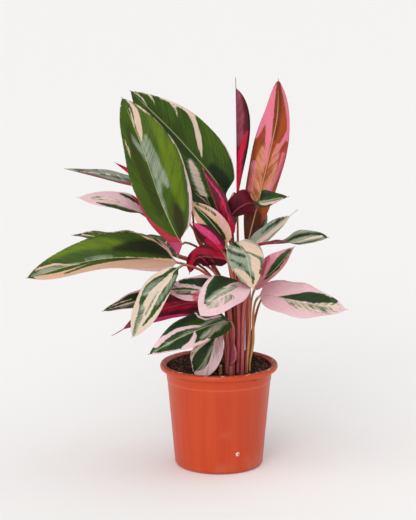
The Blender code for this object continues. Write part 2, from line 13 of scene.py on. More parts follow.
import bmesh
import bpy
import numpy as np
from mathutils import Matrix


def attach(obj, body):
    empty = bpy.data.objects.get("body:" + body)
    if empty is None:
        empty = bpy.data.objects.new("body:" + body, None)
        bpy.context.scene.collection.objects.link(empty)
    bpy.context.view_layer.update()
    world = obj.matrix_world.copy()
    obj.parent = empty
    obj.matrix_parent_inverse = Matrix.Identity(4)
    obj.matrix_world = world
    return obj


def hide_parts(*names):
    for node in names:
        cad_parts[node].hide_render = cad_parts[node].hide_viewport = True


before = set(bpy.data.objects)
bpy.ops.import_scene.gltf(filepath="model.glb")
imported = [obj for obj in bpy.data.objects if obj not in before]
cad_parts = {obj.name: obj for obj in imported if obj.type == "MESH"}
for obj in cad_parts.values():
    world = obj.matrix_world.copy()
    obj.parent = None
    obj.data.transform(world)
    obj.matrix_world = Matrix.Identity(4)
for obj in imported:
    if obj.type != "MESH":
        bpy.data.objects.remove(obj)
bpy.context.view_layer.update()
LOG = logging.getLogger("stromanthe")

MM = 0.001
BODY = "root"

Colour = tuple[float, float, float]
Point = tuple[float, ...]
Path = tuple[Point, ...]
Array = np.ndarray
Socket = bpy.types.NodeSocket
Node = bpy.types.Node
NodeTree = bpy.types.NodeTree
Material = bpy.types.Material
Mesh = bpy.types.Mesh
Piece = bpy.types.Object


class Layer(Enum):
    """A colour painted on a blade. A later member lies over the earlier ones."""

    GREEN = 0
    # painted glow where light shines through the blade from behind
    FRESH = 1
    # painted shade, together with darker patches of the leaf's own green
    DARK = 2
    SAGE = 3
    CREAM = 4
    PINK = 5
    RED = 6


class Underside(Enum):
    """The two colourings that the lower sides of the leaves have."""

    WINE = "blade_under_wine"
    CORAL = "blade_under_coral"


GREEN, FRESH, DARK, SAGE, CREAM, PINK, RED = Layer


def linear(code: str) -> Colour:
    """Turn a screen colour into the linear values that a shader uses.

    Args:
        code: the colour as six hexadecimal digits.

    Returns:
        Red, green and blue in linear light.
    """
    shares = [int(code[i:i + 2], 16) / 255 for i in (0, 2, 4)]
    return tuple(s / 12.92 if s <= 0.04045 else ((s + 0.055) / 1.055) ** 2.4 for s in shares)


@dataclass(frozen=True)
class Stroke:
    """One mark on a blade.

    path holds the place along the blade, from 0 at its base to 1 at its tip, the place across it,
    from -1 at the left edge to 1 at the right one, and the mark's half width there. depth is how far
    inside its edge the mark counts at most, so at about 0 it lies there in streaks.
    """

    layer: Layer
    path: Path
    depth: float = 99.0


def mark(layer: Layer, *path: Point) -> Stroke:
    """Return a stroke of the layer along the given points."""
    return Stroke(layer, path)


def veined(layer: Layer, depth: float, *path: Point) -> Stroke:
    """Return a stroke that lies in streaks along the veins, more of them for a greater depth."""
    return Stroke(layer, path, depth)


@dataclass(frozen=True)
class Look:
    """How one leaf is coloured.

    ground is the colour under the strokes. olive turns its green from deep to bright, warmth its cream
    from white to peach and blush its pink from pale to strong. stalk runs from brown through orange
    to pink, and marks are the strokes in the order they are painted.
    """

    ground: Layer = GREEN
    olive: float = 0.0
    warmth: float = 0.3
    blush: float = 0.2
    stalk: float = 0.2
    underside: Underside = Underside.WINE
    marks: tuple[Stroke, ...] = ()


@dataclass(frozen=True)
class Leaf:
    """One leaf with its stalk, in the sizes of the solid model.

    stalk holds the points from the soil up to the blade, blade the points of the midrib from base to
    tip, and face the directions of the upper side, evenly spaced. fold is how far the halves rise
    from the midrib, and curl how much more they rise by the edge. wave is the height of the edge's
    wave, the waves in a blade and where they start. halves scale the left and right half, widest is
    where along the blade it is widest, and drip is the length of the thread that ends it.
    """

    name: str
    stalk: Path
    blade: Path
    face: Path
    width: float
    fold: Point = (8, 8)
    curl: Point = (4, 4)
    wave: Point = (2.0, 2.5, 0.0)
    halves: Point = (1.0, 1.0)
    widest: float = 0.4
    drip: float = 3.0


LEAVES: tuple[Leaf, ...] = (
    Leaf("leaf_tall_left", ((17, 3), (18, 3, 238), (-8, 5, 290), (-30, 6, 316), (-46, -18, 328)),
         ((-54, -50, 334), (-78, -62, 387), (-107, -68, 472), (-134, -60, 538)),
         ((0.42, -0.85, 0.15), (0.42, -0.85, 0.2), (0.4, -0.85, 0.35)), 92, (18, 18), (6, 4),
         (1.6, 3, 0.1), (0.92, 1.03), 0.46),
    Leaf("leaf_tall_back", ((23, 13), (23, 13, 240), (20, 13, 330)),
         ((9, 12, 388), (-52, 2, 468), (-125, -14, 543)),
         ((0.2, -0.95, 0.2), (0.15, -0.95, 0.25), (0.1, -0.9, 0.45)), 86, (10, 10), (0, 0), (2, 2.5, 0.3)),
    Leaf("leaf_rolled", ((28, 6), (28, 6, 240)),
         ((26, 5, 376), (25, 6, 471), (23, 8, 559)),
         ((0.95, -0.3, 0), (0.95, -0.3, 0), (0.95, -0.3, 0)), 44, (25, 20), (130, 110), (0, 1, 0),
         widest=0.7, drip=16),
    Leaf("leaf_tall_right", ((34, 1), (35, 1, 240)),
         ((39, 2, 311), (57, 9, 389), (70, 14, 445), (82, 14, 505), (83, 10, 557)),
         ((-0.2, 0.97, 0.1), (-0.2, 0.97, 0.1), (-0.35, 0.9, 0.1)), 59, (16, 16), (8, 8), (2, 2.5, 0.2),
         (1.0, 0.84), 0.56),
    Leaf("leaf_arm_upper", ((14, 15), (14, 15, 238), (-12, 15, 292), (-34, 6, 335)),
         ((-44, -2, 384), (-142, -12, 413), (-217, -22, 434)),
         ((0.2, -0.15, 0.95), (0.2, -0.2, 0.95), (0.2, -0.3, 0.9)), 38, (26, 26), (10, 10),
         (1.5, 2.5, 0.2)),
    Leaf("leaf_spike_left", ((15, 22), (14, 22, 240), (-14, 21, 300)),
         ((-49, 16, 358), (-101, 18, 399), (-149, 18, 438)),
         ((0.5, 0.6, 0.6), (0.5, 0.6, 0.6), (0.5, 0.6, 0.6)), 26, (50, 50), (10, 10), (1, 2, 0)),
    Leaf("leaf_arm_pink", ((12, 8), (14, 8, 234), (-10, 11, 284), (-44, 9, 299), (-60, -5, 306)),
         ((-57, -24, 311), (-82, -31, 349), (-131, -42, 385), (-198, -52, 398)),
         ((0.7, 0.6, 0.4), (0.6, 0.4, 0.7), (0, -0.6, 0.8), (0, -0.8, 0.6)), 48, (12, 12), (8, 8),
         (2, 2, 0)),
    Leaf("leaf_broad_left", ((12, -6), (14, -8, 230), (-14, -20, 281), (-38, -29, 295)),
         ((-57, -40, 303), (-155, -74, 316), (-266, -95, 292)),
         ((0.1, -0.6, 0.8), (0.1, -0.55, 0.84), (0, -0.6, 0.8)), 80, (18, 20), (4, 6), (5.5, 1, -0.3),
         (1.05, 0.95), 0.44),
    Leaf("leaf_broad_left_back", ((9, 26), (9, 26, 225), (-20, 18, 282)),
         ((-61, 4, 304), (-127, 15, 325), (-212, 15, 333)),
         ((0, -0.2, 0.97), (0, -0.2, 0.97), (0, -0.3, 0.95)), 42, (10, 10), (4, 4), (2.5, 3, 0.4)),
    Leaf("leaf_hanging_left", ((12, -13), (14, -16, 226), (-14, -28, 280), (-40, -52, 301)),
         ((-56, -80, 304), (-83, -95, 279), (-101, -99, 246), (-121, -99, 208)),
         ((-0.1, -0.85, 0.5), (-0.2, -0.95, 0.3), (-0.3, -0.9, 0.25)), 40, (10, 10), (6, 6),
         (1.5, 2.5, 0), widest=0.5),
    Leaf("leaf_low_left", ((12, -19), (8, -17, 205), (-16, -16, 256)),
         ((-53, -14, 267), (-111, -34, 248), (-165, -52, 236)),
         ((0, -0.5, 0.86), (0, -0.5, 0.86), (0, -0.5, 0.86)), 36, (12, 12), (4, 4), (1.5, 2.5, 0.3)),
    Leaf("leaf_magenta_low", ((11, -25), (8, -23, 190)),
         ((-14, -26, 240), (-82, -50, 238), (-151, -72, 205)),
         ((0, 0.95, 0.3), (0, 0.95, 0.3), (0.1, 0.95, 0.2)), 48, (8, 8), (8, 8), (2, 2.5, 0), widest=0.3,
         drip=20),
    Leaf("leaf_low_mid", ((18, -25), (17, -29, 220)),
         ((8, -38, 259), (-33, -52, 266), (-79, -55, 266)),
         ((0, -0.75, 0.65), (0, -0.75, 0.65), (0, -0.75, 0.65)), 44, (8, 8), (6, 6), (2, 2.5, 0)),
    Leaf("leaf_crimson_mid", ((19, -17), (23, -17, 235)),
         ((16, -16, 299), (-9, -12, 306), (-33, -9, 303), (-43, -8, 280)),
         ((0.1, 0.9, 0.4), (-0.1, 0.95, 0.3), (-0.4, 0.9, 0)), 34, (8, 8), (6, 6), (3, 2.5, 0)),
    Leaf("leaf_front_mid", ((33, -31), (34, -35, 225)),
         ((36, -54, 272), (4, -97, 270), (-28, -119, 243)),
         ((-0.1, -0.6, 0.8), (-0.1, -0.8, 0.6), (-0.2, -0.9, 0.4)), 58, (8, 8), (4, 4), (1.5, 2, 0),
         widest=0.5),
    Leaf("leaf_front_low", ((20, -32), (20, -34, 180)),
         ((16, -58, 221), (-41, -102, 216), (-98, -124, 191)),
         ((-0.1, -0.7, 0.7), (-0.1, -0.8, 0.6), (-0.1, -0.8, 0.6)), 51, (10, 10), (4, 4), (2, 2.5, 0.2)),
    Leaf("leaf_pot_edge", ((12, -31), (13, -35, 180)),
         ((8, -43, 207), (-12, -55, 180), (-28, -55, 155), (-38, -50, 145)),
         ((-0.2, -0.5, 0.8), (-0.3, -0.9, 0.4), (-0.3, -0.9, 0.3)), 46, (8, 8), (4, 4), (1, 2, 0),
         widest=0.62),
    Leaf("leaf_front_top", ((33, -22), (34, -24, 240), (31, -24, 318)),
         ((24, -42, 333), (37, -63, 318), (42, -75, 297), (47, -81, 272)),
         ((-0.1, -0.4, 0.9), (0.1, -0.9, 0.35), (0.1, -0.95, 0.2)), 54, (8, 8), (4, 4), (2, 2.5, 0.2),
         (0.84, 1.04)),
    Leaf("leaf_cup_right", ((39, -28), (43, -29, 200)),
         ((50, -35, 264), (80, -48, 297), (106, -44, 328)),
         ((-0.6, -0.6, 0.5), (-0.6, -0.6, 0.5), (-0.6, -0.6, 0.5)), 46, (22, 22), (14, 14), (1.5, 2, 0)),
    Leaf("leaf_arm_right", ((40, -13), (40, -14, 240)),
         ((44, -18, 317), (99, -32, 331), (154, -42, 340)),
         ((0, 0.4, 0.9), (0, 0.15, 0.98), (0, -0.3, 0.95), (0, -0.5, 0.87)), 42, (12, 12),
         (6, 6), (1.5, 2, 0), widest=0.6),
    Leaf("leaf_arm_right_up", ((41, -5), (42, -5, 240)),
         ((45, -6, 315), (72, -1, 341), (112, 2, 372)),
         ((-0.55, -0.8, 0.2), (-0.5, -0.8, 0.3), (-0.4, -0.7, 0.6)), 24, (14, 14), (6, 6), (1.2, 2, 0),
         drip=14),
    Leaf("leaf_blue_back", ((42, 10), (44, 14, 240)),
         ((47, 22, 317), (59, 32, 344), (68, 36, 374)),
         ((-0.7, -0.7, 0.2), (-0.7, -0.7, 0.2), (-0.7, -0.7, 0.2)), 32, (10, 10), (4, 4), (1, 2, 0)),
    Leaf("leaf_twist_right", ((26, -11), (27, -12, 250), (19, -14, 320)),
         ((14, -20, 362), (36, -32, 385), (59, -40, 390), (97, -46, 398)),
         ((-0.1, 0.95, 0.3), (0, 0.9, 0.4), (0.1, -0.5, 0.85), (0.1, -0.5, 0.85)), 42, (10, 10), (6, 6),
         (2, 2, 0), widest=0.45),
    Leaf("leaf_rolled_red", ((33, -11), (32, -15, 250)),
         ((14, -30, 334), (-6, -34, 387), (-24, -28, 438)),
         ((0.8, 0.5, 0), (0.8, 0.5, 0), (0.8, 0.5, 0)), 36, (35, 35), (20, 20), (1.5, 2, 0)),
    Leaf("leaf_peach_mid", ((26, -22), (26, -25, 250)),
         ((10, -42, 329), (-12, -44, 362), (-42, -38, 391)),
         ((-0.2, -0.9, 0.3), (-0.2, -0.9, 0.3), (-0.2, -0.9, 0.3)), 36, (8, 8), (4, 4), (1.5, 2, 0)),
    Leaf("leaf_crimson_edge", ((27, -28), (27, -32, 240), (14, -41, 300)),
         ((4, -48, 322), (-16, -55, 343), (-39, -56, 364)),
         ((0.3, 0.9, 0.2), (0.3, 0.9, 0.2), (0.3, 0.9, 0.2)), 30, (10, 10), (6, 6), (1, 2, 0)),
    Leaf("leaf_broad_right", ((43, -20), (48, -20, 180)),
         ((56, -30, 252), (114, -50, 248), (180, -60, 240)),
         ((0, -0.68, 0.73), (0, -0.68, 0.73), (0.1, -0.75, 0.65)), 60, (8, 8), (6, 6), (2.5, 2.5, 0)),
    Leaf("leaf_far_left_high", ((21, 27), (19, 32, 260)),
         ((-5, 44, 352), (-42, 78, 424), (-74, 102, 486)),
         ((0.3, -0.7, 0.6), (0.3, -0.7, 0.6), (0.2, -0.5, 0.8)), 66, (12, 12), (6, 6), (2, 2.5, 0)),
    Leaf("leaf_far_right_high", ((35, 20), (38, 28, 250)),
         ((47, 58, 328), (66, 92, 398), (80, 122, 452)),
         ((-0.8, -0.2, 0.55), (-0.8, -0.2, 0.55), (-0.7, -0.2, 0.7)), 52, (12, 12), (6, 6), (2, 2.5, 0.2)),
    Leaf("leaf_far_mid", ((28, 20), (26, 26, 250)),
         ((20, 54, 328), (10, 112, 358), (2, 172, 340)),
         ((-0.7, 0, 0.7), (-0.6, 0, 0.8), (-0.5, 0.2, 0.85)), 54, (12, 12), (6, 6), (2.5, 2.5, 0.4)),
    Leaf("leaf_far_low", ((31, 13), (32, 22, 210)),
         ((33, 44, 250), (35, 96, 262), (38, 152, 236)),
         ((-0.9, 0, 0.4), (-0.85, 0, 0.5), (-0.8, 0, 0.6)), 54, (12, 12), (6, 6), (2.5, 2.5, 0)),
    Leaf("leaf_far_left_low", ((12, 30), (8, 33, 200)),
         ((-22, 42, 240), (-66, 70, 240), (-98, 96, 214)),
         ((0, -0.1, 1), (0, -0.1, 1), (-0.2, 0, 1)), 48, (12, 12), (6, 6), (2.5, 2.5, 0)),
    Leaf("leaf_far_right_low", ((43, 22), (48, 28, 185)),
         ((66, 36, 240), (110, 66, 242), (148, 100, 218)),
         ((0, -0.1, 1), (0, -0.1, 1), (0.2, 0, 1)), 52, (12, 12), (6, 6), (2.5, 2.5, 0)),
    Leaf("leaf_far_left_mid", ((22, 35), (18, 38, 225), (-14, 38, 282)),
         ((-62, 52, 298), (-106, 88, 308), (-152, 122, 288)),
         ((0, -0.2, 0.97), (0, -0.1, 1), (0, 0, 1)), 60, (12, 12), (6, 6), (2.5, 3, 0)),
    Leaf("shoot_sheath", ((17, -42), (17, -42, 156)),
         ((17, -42, 158), (18, -43, 172), (21, -43, 192)),
         ((0.8, 0.5, 0), (0.8, 0.5, 0), (0.8, 0.5, 0)), 15, (30, 30), (50, 50), (0, 1, 0), widest=0.35),
)


# Strokes on the glow layer are painted backlight glow, and strokes on the dark layer are painted shade as
# well as darker green.
LOOKS: dict[str, Look] = {
    "leaf_tall_left": Look(olive=0.6, warmth=0.35, blush=0.0, stalk=0.1, marks=(
        mark(FRESH, (0.2, 0.6, 4), (0.33, 0.6, 10), (0.5, 0.65, 13), (0.7, 0.75, 9), (0.85, 0.9, 3)),
        # Painted shade on the left half and at the base of the blade.
        veined(DARK, 0.4, (0.25, -0.2, 5), (0.45, -0.3, 7), (0.65, -0.4, 7), (0.8, -0.4, 4)),
        mark(DARK, (0.02, 0.35, 3), (0.08, 0.4, 6), (0.15, 0.4, 8), (0.24, 0.4, 4)),
        # The sage feathering along the midrib, which also stands for a painted glossy highlight there.
        veined(SAGE, 1.8, (0.16, 0, 1), (0.3, 0.04, 2), (0.45, 0.12, 3.5), (0.55, 0.12, 4.5),
               (0.7, 0.08, 2)),
        veined(SAGE, 0.8, (0.38, 0.35, 2), (0.46, 0.3, 4), (0.55, 0.25, 4.5), (0.65, 0.25, 3.5),
               (0.72, 0.25, 1.5)),
        veined(SAGE, 1.2, (0.58, 0, 1.5), (0.65, -0.1, 3), (0.72, -0.25, 3), (0.77, -0.35, 1.2)),
        mark(CREAM, (0.7, 0.06, 1), (0.76, 0.15, 3.2), (0.82, 0.25, 4.2), (0.88, 0.45, 3.6),
             (0.93, 0.65, 2.5), (0.97, 0.85, 1)),
        mark(CREAM, (0.83, 1, 1), (0.87, 0.95, 1.6), (0.93, 1, 0.8)),
        mark(CREAM, (0.8, 0, 1), (0.86, 0.1, 1.2), (0.92, 0.25, 0.7)),
        mark(CREAM, (0.63, -0.75, 0.8), (0.69, -0.75, 1.7), (0.75, -0.85, 0.9)),
        mark(CREAM, (0.14, -1, 0.8), (0.55, -1, 1), (0.95, -1, 1.1)),
        mark(CREAM, (0.4, 1, 2.2), (0.55, 1, 1.6), (0.7, 1, 1), (0.85, 1, 0.8)),
        mark(PINK, (0.05, 1, 2), (0.18, 1, 3.6), (0.3, 1, 4), (0.4, 1, 2.6), (0.5, 1, 1)),
        mark(RED, (0, -0.4, 6), (0.08, -0.7, 5), (0.18, -0.92, 4), (0.3, -1, 2.6), (0.42, -1, 1)),
        mark(RED, (0, 0.4, 3.5), (0.035, 0.6, 1.5)))),
    "leaf_tall_back": Look(olive=0.36, warmth=0.08, blush=0.0, stalk=0.15, marks=(
        veined(FRESH, -0.6, (0.22, 0.75, 6), (0.35, 0.8, 9), (0.5, 0.95, 7)),
        mark(DARK, (0.03, 0.6, 6), (0.12, 0.3, 9), (0.22, 0.2, 6)),
        veined(DARK, 0.2, (0.35, -0.1, 4), (0.6, -0.15, 5), (0.8, -0.3, 4)),
        mark(SAGE, (0.1, -0.95, 4), (0.18, -0.7, 6), (0.26, -0.45, 7), (0.36, -0.25, 3)),
        veined(CREAM, 0.5, (0.1, -0.95, 4), (0.2, -0.6, 6), (0.28, -0.4, 6), (0.36, -0.25, 2)),
        mark(CREAM, (0.32, 0.15, 1), (0.38, 0.33, 3.2), (0.44, 0.52, 4), (0.52, 0.75, 3.6), (0.6, 0.95, 3),
             (0.7, 1, 2.6), (0.8, 1, 1.6)),
        mark(CREAM, (0.63, 0.5, 0.6), (0.68, 0.75, 1.1), (0.74, 0.95, 1.4)),
        mark(CREAM, (0.8, 0.35, 0.6), (0.83, 0.6, 1.3), (0.88, 0.95, 1.6)),
        mark(CREAM, (0.84, 0.05, 0.5), (0.9, 0.3, 1.2), (0.96, 0.5, 0.9)),
        mark(CREAM, (0.75, 1, 1.2), (0.97, 1, 1.2)),
        mark(CREAM, (0.3, 1, 0.6), (0.6, 1, 0.9)),
        mark(PINK, (0.08, 1, 0.9), (0.2, 1, 1.4), (0.36, 1, 0.8)))),
    "leaf_rolled": Look(stalk=0.35, blush=0.5, marks=(
        veined(SAGE, 0.4, (0.5, -0.3, 5), (0.75, -0.4, 6), (0.95, -0.3, 3)),
        mark(DARK, (0.1, -0.8, 3), (0.2, -0.85, 3), (0.32, -0.85, 3), (0.45, -0.95, 2.5), (0.6, -1, 1.8),
             (0.78, -1, 1.5)),
        mark(RED, (0, -0.2, 4), (0.12, -0.2, 4.4), (0.23, -0.3, 5), (0.32, -0.36, 5), (0.42, -0.5, 4.5),
             (0.5, -0.7, 3.5), (0.58, -0.9, 1.6)))),
    "leaf_tall_right": Look(olive=0.4, blush=0.7, stalk=0.35, underside=Underside.CORAL, marks=(
        mark(DARK, (0, 0, 20), (0.12, 0, 20), (0.2, 0, 12)),
        veined(DARK, 0.2, (0.2, 0.2, 12), (0.32, 0.2, 9)),
        veined(CREAM, 0.2, (0.28, 0.3, 5), (0.42, 0.4, 8), (0.55, 0.4, 7), (0.64, 0.3, 3)),
        veined(CREAM, 0.2, (0.32, -0.3, 5), (0.48, -0.35, 8), (0.62, -0.4, 5)),
        veined(DARK, 0.2, (0.35, 0.9, 4), (0.5, 0.9, 3), (0.65, 0.95, 2)),
        veined(RED, 0.2, (0.45, -0.9, 3), (0.6, -0.92, 2.4), (0.73, -0.92, 1.6)),
        veined(PINK, 0.4, (0.3, -0.5, 3), (0.45, -0.75, 3.5), (0.58, -0.85, 4)),
        veined(PINK, 0, (0.35, 0.7, 4), (0.5, 0.75, 4)),
        mark(PINK, (0.64, 0.95, 2), (0.73, 0.9, 5), (0.8, 0.8, 7.5), (0.87, 0.7, 7), (0.93, 0.55, 4.5),
             (0.97, 0.3, 1.5)),
        mark(PINK, (0.5, 0.07, 0.8), (0.6, 0.18, 3), (0.68, 0.28, 5.5), (0.76, 0.38, 7), (0.86, 0.52, 6)),
        mark(PINK, (0.66, -0.9, 2), (0.77, -0.98, 4.6), (0.85, -0.95, 5.6), (0.91, -0.98, 4),
             (0.96, -0.8, 2)),
        veined(PINK, 0.8, (0.54, -0.35, 1.5), (0.62, -0.5, 3), (0.7, -0.85, 3)),
        mark(GREEN, (0.58, -0.06, 1.2), (0.66, -0.08, 3.8), (0.74, -0.04, 5.6), (0.83, -0.04, 6.2),
             (0.92, -0.1, 5), (0.98, -0.2, 3)),
        veined(DARK, 0.6, (0.66, -0.08, 2.2), (0.76, -0.05, 4.4), (0.86, -0.06, 5.4), (0.97, -0.2, 3)))),
    "leaf_arm_upper": Look(ground=SAGE, warmth=0.0, stalk=0.3, marks=(
        mark(GREEN, (0.1, 0.3, 3), (0.4, 0.45, 2.6), (0.7, 0.5, 1.6), (0.9, 0.4, 1)),
        veined(DARK, 0.6, (0.3, -0.4, 5), (0.6, -0.4, 3.2), (0.8, -0.4, 1.4)),
        mark(CREAM, (0.5, 0.75, 0.7), (0.7, 0.55, 1), (0.9, 0.3, 0.9)),
        mark(CREAM, (0.6, -0.05, 0.5), (0.78, -0.1, 0.9), (0.95, 0, 0.7)),
        mark(GREEN, (0.75, 0.9, 0.8), (0.92, 0.6, 0.8)),
        mark(RED, (0, -0.6, 8), (0.3, -0.6, 8), (0.46, -0.55, 6), (0.55, -0.45, 3.5), (0.6, -0.3, 1.4)))),
    "leaf_spike_left": Look(ground=RED, stalk=0.4, marks=(
        mark(GREEN, (0.8, 0.4, 1), (1, 0, 1)),)),
    "leaf_arm_pink": Look(ground=PINK, warmth=0.0, blush=0.0, stalk=0.7, marks=(
        mark(CREAM, (0.66, 0.17, 1.2), (0.77, 0.25, 2.4), (0.88, 0.15, 1.2)),
        mark(GREEN, (0.5, 0.75, 1.6), (0.56, 0.7, 2.8), (0.62, 0.75, 2.4), (0.67, 0.85, 1)),
        mark(GREEN, (0.3, -0.7, 6), (0.45, -0.7, 7.5), (0.57, -0.65, 8), (0.68, -0.72, 6.5),
             (0.77, -0.66, 3.2), (0.84, -0.58, 1)),
        mark(SAGE, (0.45, -0.3, 0.8), (0.62, -0.36, 1.2), (0.75, -0.45, 0.7)),
        mark(RED, (0.25, 0.6, 9), (0.42, 0.85, 7.5), (0.5, 1, 6), (0.57, 0.95, 2)))),
    "leaf_broad_left": Look(olive=0.42, warmth=0.8, blush=0.1, stalk=0.6, marks=(
        mark(FRESH, (0.35, 0.5, 5), (0.43, 0.55, 8), (0.55, 0.7, 9), (0.67, 0.85, 8), (0.82, 0.9, 5)),
        mark(DARK, (0.05, 0.58, 5), (0.12, 0.62, 9), (0.22, 0.55, 10), (0.32, 0.45, 8), (0.42, 0.35, 4)),
        mark(CREAM, (0.02, -0.4, 11), (0.15, -0.45, 15.5), (0.35, -0.58, 16.5), (0.55, -0.74, 14.5),
             (0.75, -0.9, 9), (0.92, -0.9, 5)),
        mark(CREAM, (0.58, -0.2, 1.2), (0.8, -0.5, 3.4), (0.94, -0.5, 3)),
        veined(SAGE, 1, (0.66, -0.02, 1.4), (0.78, 0.1, 3), (0.88, 0.15, 3.4), (0.96, 0.05, 2)),
        veined(SAGE, 0.2, (0.45, 0.06, 2), (0.6, 0.08, 3)),
        mark(CREAM, (0.66, -0.1, 0.8), (0.74, 0.1, 1.5), (0.79, 0.33, 1.9), (0.86, 0.5, 1.8),
             (0.93, 0.75, 1)),
        mark(CREAM, (0.03, 0.58, 1.2), (0.08, 0.8, 1.3), (0.15, 0.88, 1.3), (0.22, 0.92, 1.3),
             (0.28, 1, 1.4), (0.43, 1, 1)),
        mark(CREAM, (0.02, 0.15, 1), (0.17, 0.06, 0.8), (0.35, 0, 0.9), (0.6, -0.06, 0.7)),
        mark(CREAM, (0.43, 1, 0.7), (0.7, 1, 0.8), (0.95, 1, 1)),
        mark(GREEN, (0.55, -0.16, 1.2), (0.62, -0.32, 2.8), (0.69, -0.5, 3), (0.76, -0.7, 1.4)),
        mark(GREEN, (0.46, -0.24, 0.7), (0.5, -0.32, 1.8), (0.54, -0.4, 0.7)),
        veined(PINK, 0.7, (0.03, -1, 4), (0.15, -1, 7), (0.27, -1, 7), (0.36, -1, 3)),
        mark(PINK, (0.02, 1, 2.5), (0.1, 1, 1.4), (0.3, 1, 0.6)),
        mark(RED, (0, 0.5, 6), (0.025, 0.6, 3)))),
    "leaf_broad_left_back": Look(olive=0.3, warmth=0.2, blush=0.1, marks=(
        mark(PINK, (0.1, 1, 1.4), (0.5, 1, 1.8), (0.9, 1, 1.2)),
        mark(CREAM, (0.6, 0.2, 0.8), (0.72, 0.6, 1.6), (0.85, 1, 1.2)),
        mark(CREAM, (0.75, -0.1, 0.8), (0.9, 0.4, 1.6)),
        veined(FRESH, 0.5, (0.5, 0.6, 5), (0.8, 0.7, 4)))),
    "leaf_hanging_left": Look(ground=CREAM, olive=0.2, warmth=0.05, blush=0.0, stalk=0.85, marks=(
        mark(GREEN, (0.02, 0.45, 2), (0.2, 0.35, 2.8), (0.32, 0.5, 4.6), (0.42, 0.62, 5),
             (0.53, 0.62, 3.6), (0.65, 0.5, 2), (0.77, 0.35, 1)),
        veined(SAGE, 0.3, (0.22, 0.35, 1.5), (0.35, 0.5, 2.4), (0.47, 0.58, 2.3)),
        mark(GREEN, (0.02, -0.4, 3), (0.13, -0.75, 4.4), (0.23, -0.75, 5), (0.35, -0.65, 5.4),
             (0.47, -0.6, 5), (0.58, -0.55, 3.6), (0.7, -0.5, 2.4), (0.8, -0.45, 1.2)),
        veined(SAGE, 0.9, (0.12, -0.65, 2), (0.25, -0.62, 2.6), (0.4, -0.58, 2.6), (0.5, -0.55, 2)),
        mark(CREAM, (0.1, 0.05, 0.8), (0.25, 0, 1.6), (0.37, 0, 2.4), (0.48, 0.02, 3.3), (0.6, 0.08, 4.2),
             (0.7, 0.05, 3.8), (0.82, -0.05, 2.2)),
        veined(SAGE, 0.6, (0.38, -0.15, 0.9), (0.53, -0.08, 1.4), (0.68, -0.08, 1.4)),
        veined(SAGE, 0.2, (0.62, 0.35, 3), (0.8, 0.2, 4), (0.95, 0, 2)))),
    "leaf_low_left": Look(olive=0.12, warmth=0.0, blush=0.1, stalk=0.8, marks=(
        veined(DARK, 0.2, (0.55, 0.5, 4), (0.75, 0.5, 4), (0.9, 0.3, 3)),
        veined(SAGE, 0, (0.5, -0.3, 4), (0.75, -0.3, 4)),
        mark(CREAM, (0.5, 0.04, 0.9), (0.75, 0.08, 1), (0.95, 0, 0.8)),
        mark(CREAM, (0.62, 0.4, 0.5), (0.78, 0.55, 0.9), (0.9, 0.6, 0.7)),
        mark(PINK, (0.23, 0.92, 2.6), (0.38, 1, 3.6), (0.52, 1, 3), (0.63, 1, 1.4), (0.85, 1, 1)),
        mark(PINK, (0.3, -1, 1.4), (0.63, -1, 1.8), (0.9, -1, 1.2)))),
    "leaf_magenta_low": Look(olive=0.3, blush=0.8, stalk=0.6, marks=(
        veined(RED, 0.2, (0.1, 0.2, 5), (0.27, 0.1, 7), (0.43, 0, 7), (0.57, -0.1, 5)),
        veined(DARK, 0.2, (0.12, 0.1, 5), (0.25, -0.1, 5), (0.4, -0.3, 4)),
        mark(PINK, (0.2, 1, 3), (0.3, 1, 6), (0.42, 1, 7.5), (0.53, 0.95, 6), (0.62, 0.8, 2.4)),
        veined(SAGE, 0.5, (0.7, 0.1, 4), (0.9, 0, 3)))),
    "leaf_low_mid": Look(ground=PINK, blush=0.1, warmth=0.1, stalk=0.6, marks=(
        mark(DARK, (0.03, 0.9, 8), (0.18, 0.55, 7), (0.35, 0.5, 7), (0.57, 0.65, 5.4), (0.73, 0.82, 2)),
        mark(GREEN, (0.45, 0, 1.6), (0.68, 0.15, 2), (0.85, 0.17, 1.4)),
        veined(GREEN, 0.6, (0.47, -0.4, 1.2), (0.62, -0.35, 1.5), (0.78, -0.45, 1.2)),
        mark(CREAM, (0.5, 0.33, 1.1), (0.67, 0.48, 1.2), (0.82, 0.58, 1)),
        veined(SAGE, 0.2, (0.6, -0.15, 2.5), (0.8, -0.2, 2.5)),
        mark(PINK, (0.28, 0.95, 1.4), (0.52, 1, 1.7), (0.73, 1, 1.1)),
        veined(RED, 0.9, (0.4, -0.2, 3), (0.5, -0.4, 4.5), (0.48, -0.95, 6)))),
    "leaf_crimson_mid": Look(blush=0.7, stalk=0.3, marks=(
        veined(RED, 0.7, (0, -0.3, 6), (0.14, -0.25, 5), (0.3, -0.35, 5), (0.46, -0.45, 4),
               (0.6, -0.6, 4)),
        mark(RED, (0.12, 0.1, 1.6), (0.2, 0, 1.4), (0.33, -0.1, 1.2)),
        mark(RED, (0.6, -0.9, 2.5), (0.7, -0.3, 2.6), (0.8, -0.3, 3), (1, 0, 3)),
        veined(DARK, 0.6, (0.1, 0.6, 4), (0.4, 0.6, 4), (0.6, 0.4, 3)),
        mark(SAGE, (0.32, 0.7, 1), (0.4, 0.1, 1.2), (0.5, -0.2, 0.7)),
        mark(PINK, (0.46, 0.7, 0.6), (0.52, 0.3, 0.9), (0.6, -0.1, 0.5)))),
    "leaf_front_mid": Look(ground=PINK, warmth=0.05, blush=0.0, stalk=0.75, marks=(
        mark(GREEN, (0.07, 0.95, 4), (0.18, 0.78, 8.5), (0.4, 0.62, 10.5), (0.57, 0.52, 8.5),
             (0.7, 0.44, 4.6), (0.8, 0.4, 1.6)),
        veined(DARK, 1.4, (0.12, 0.95, 4), (0.35, 0.65, 6), (0.57, 0.5, 4.4), (0.7, 0.4, 2)),
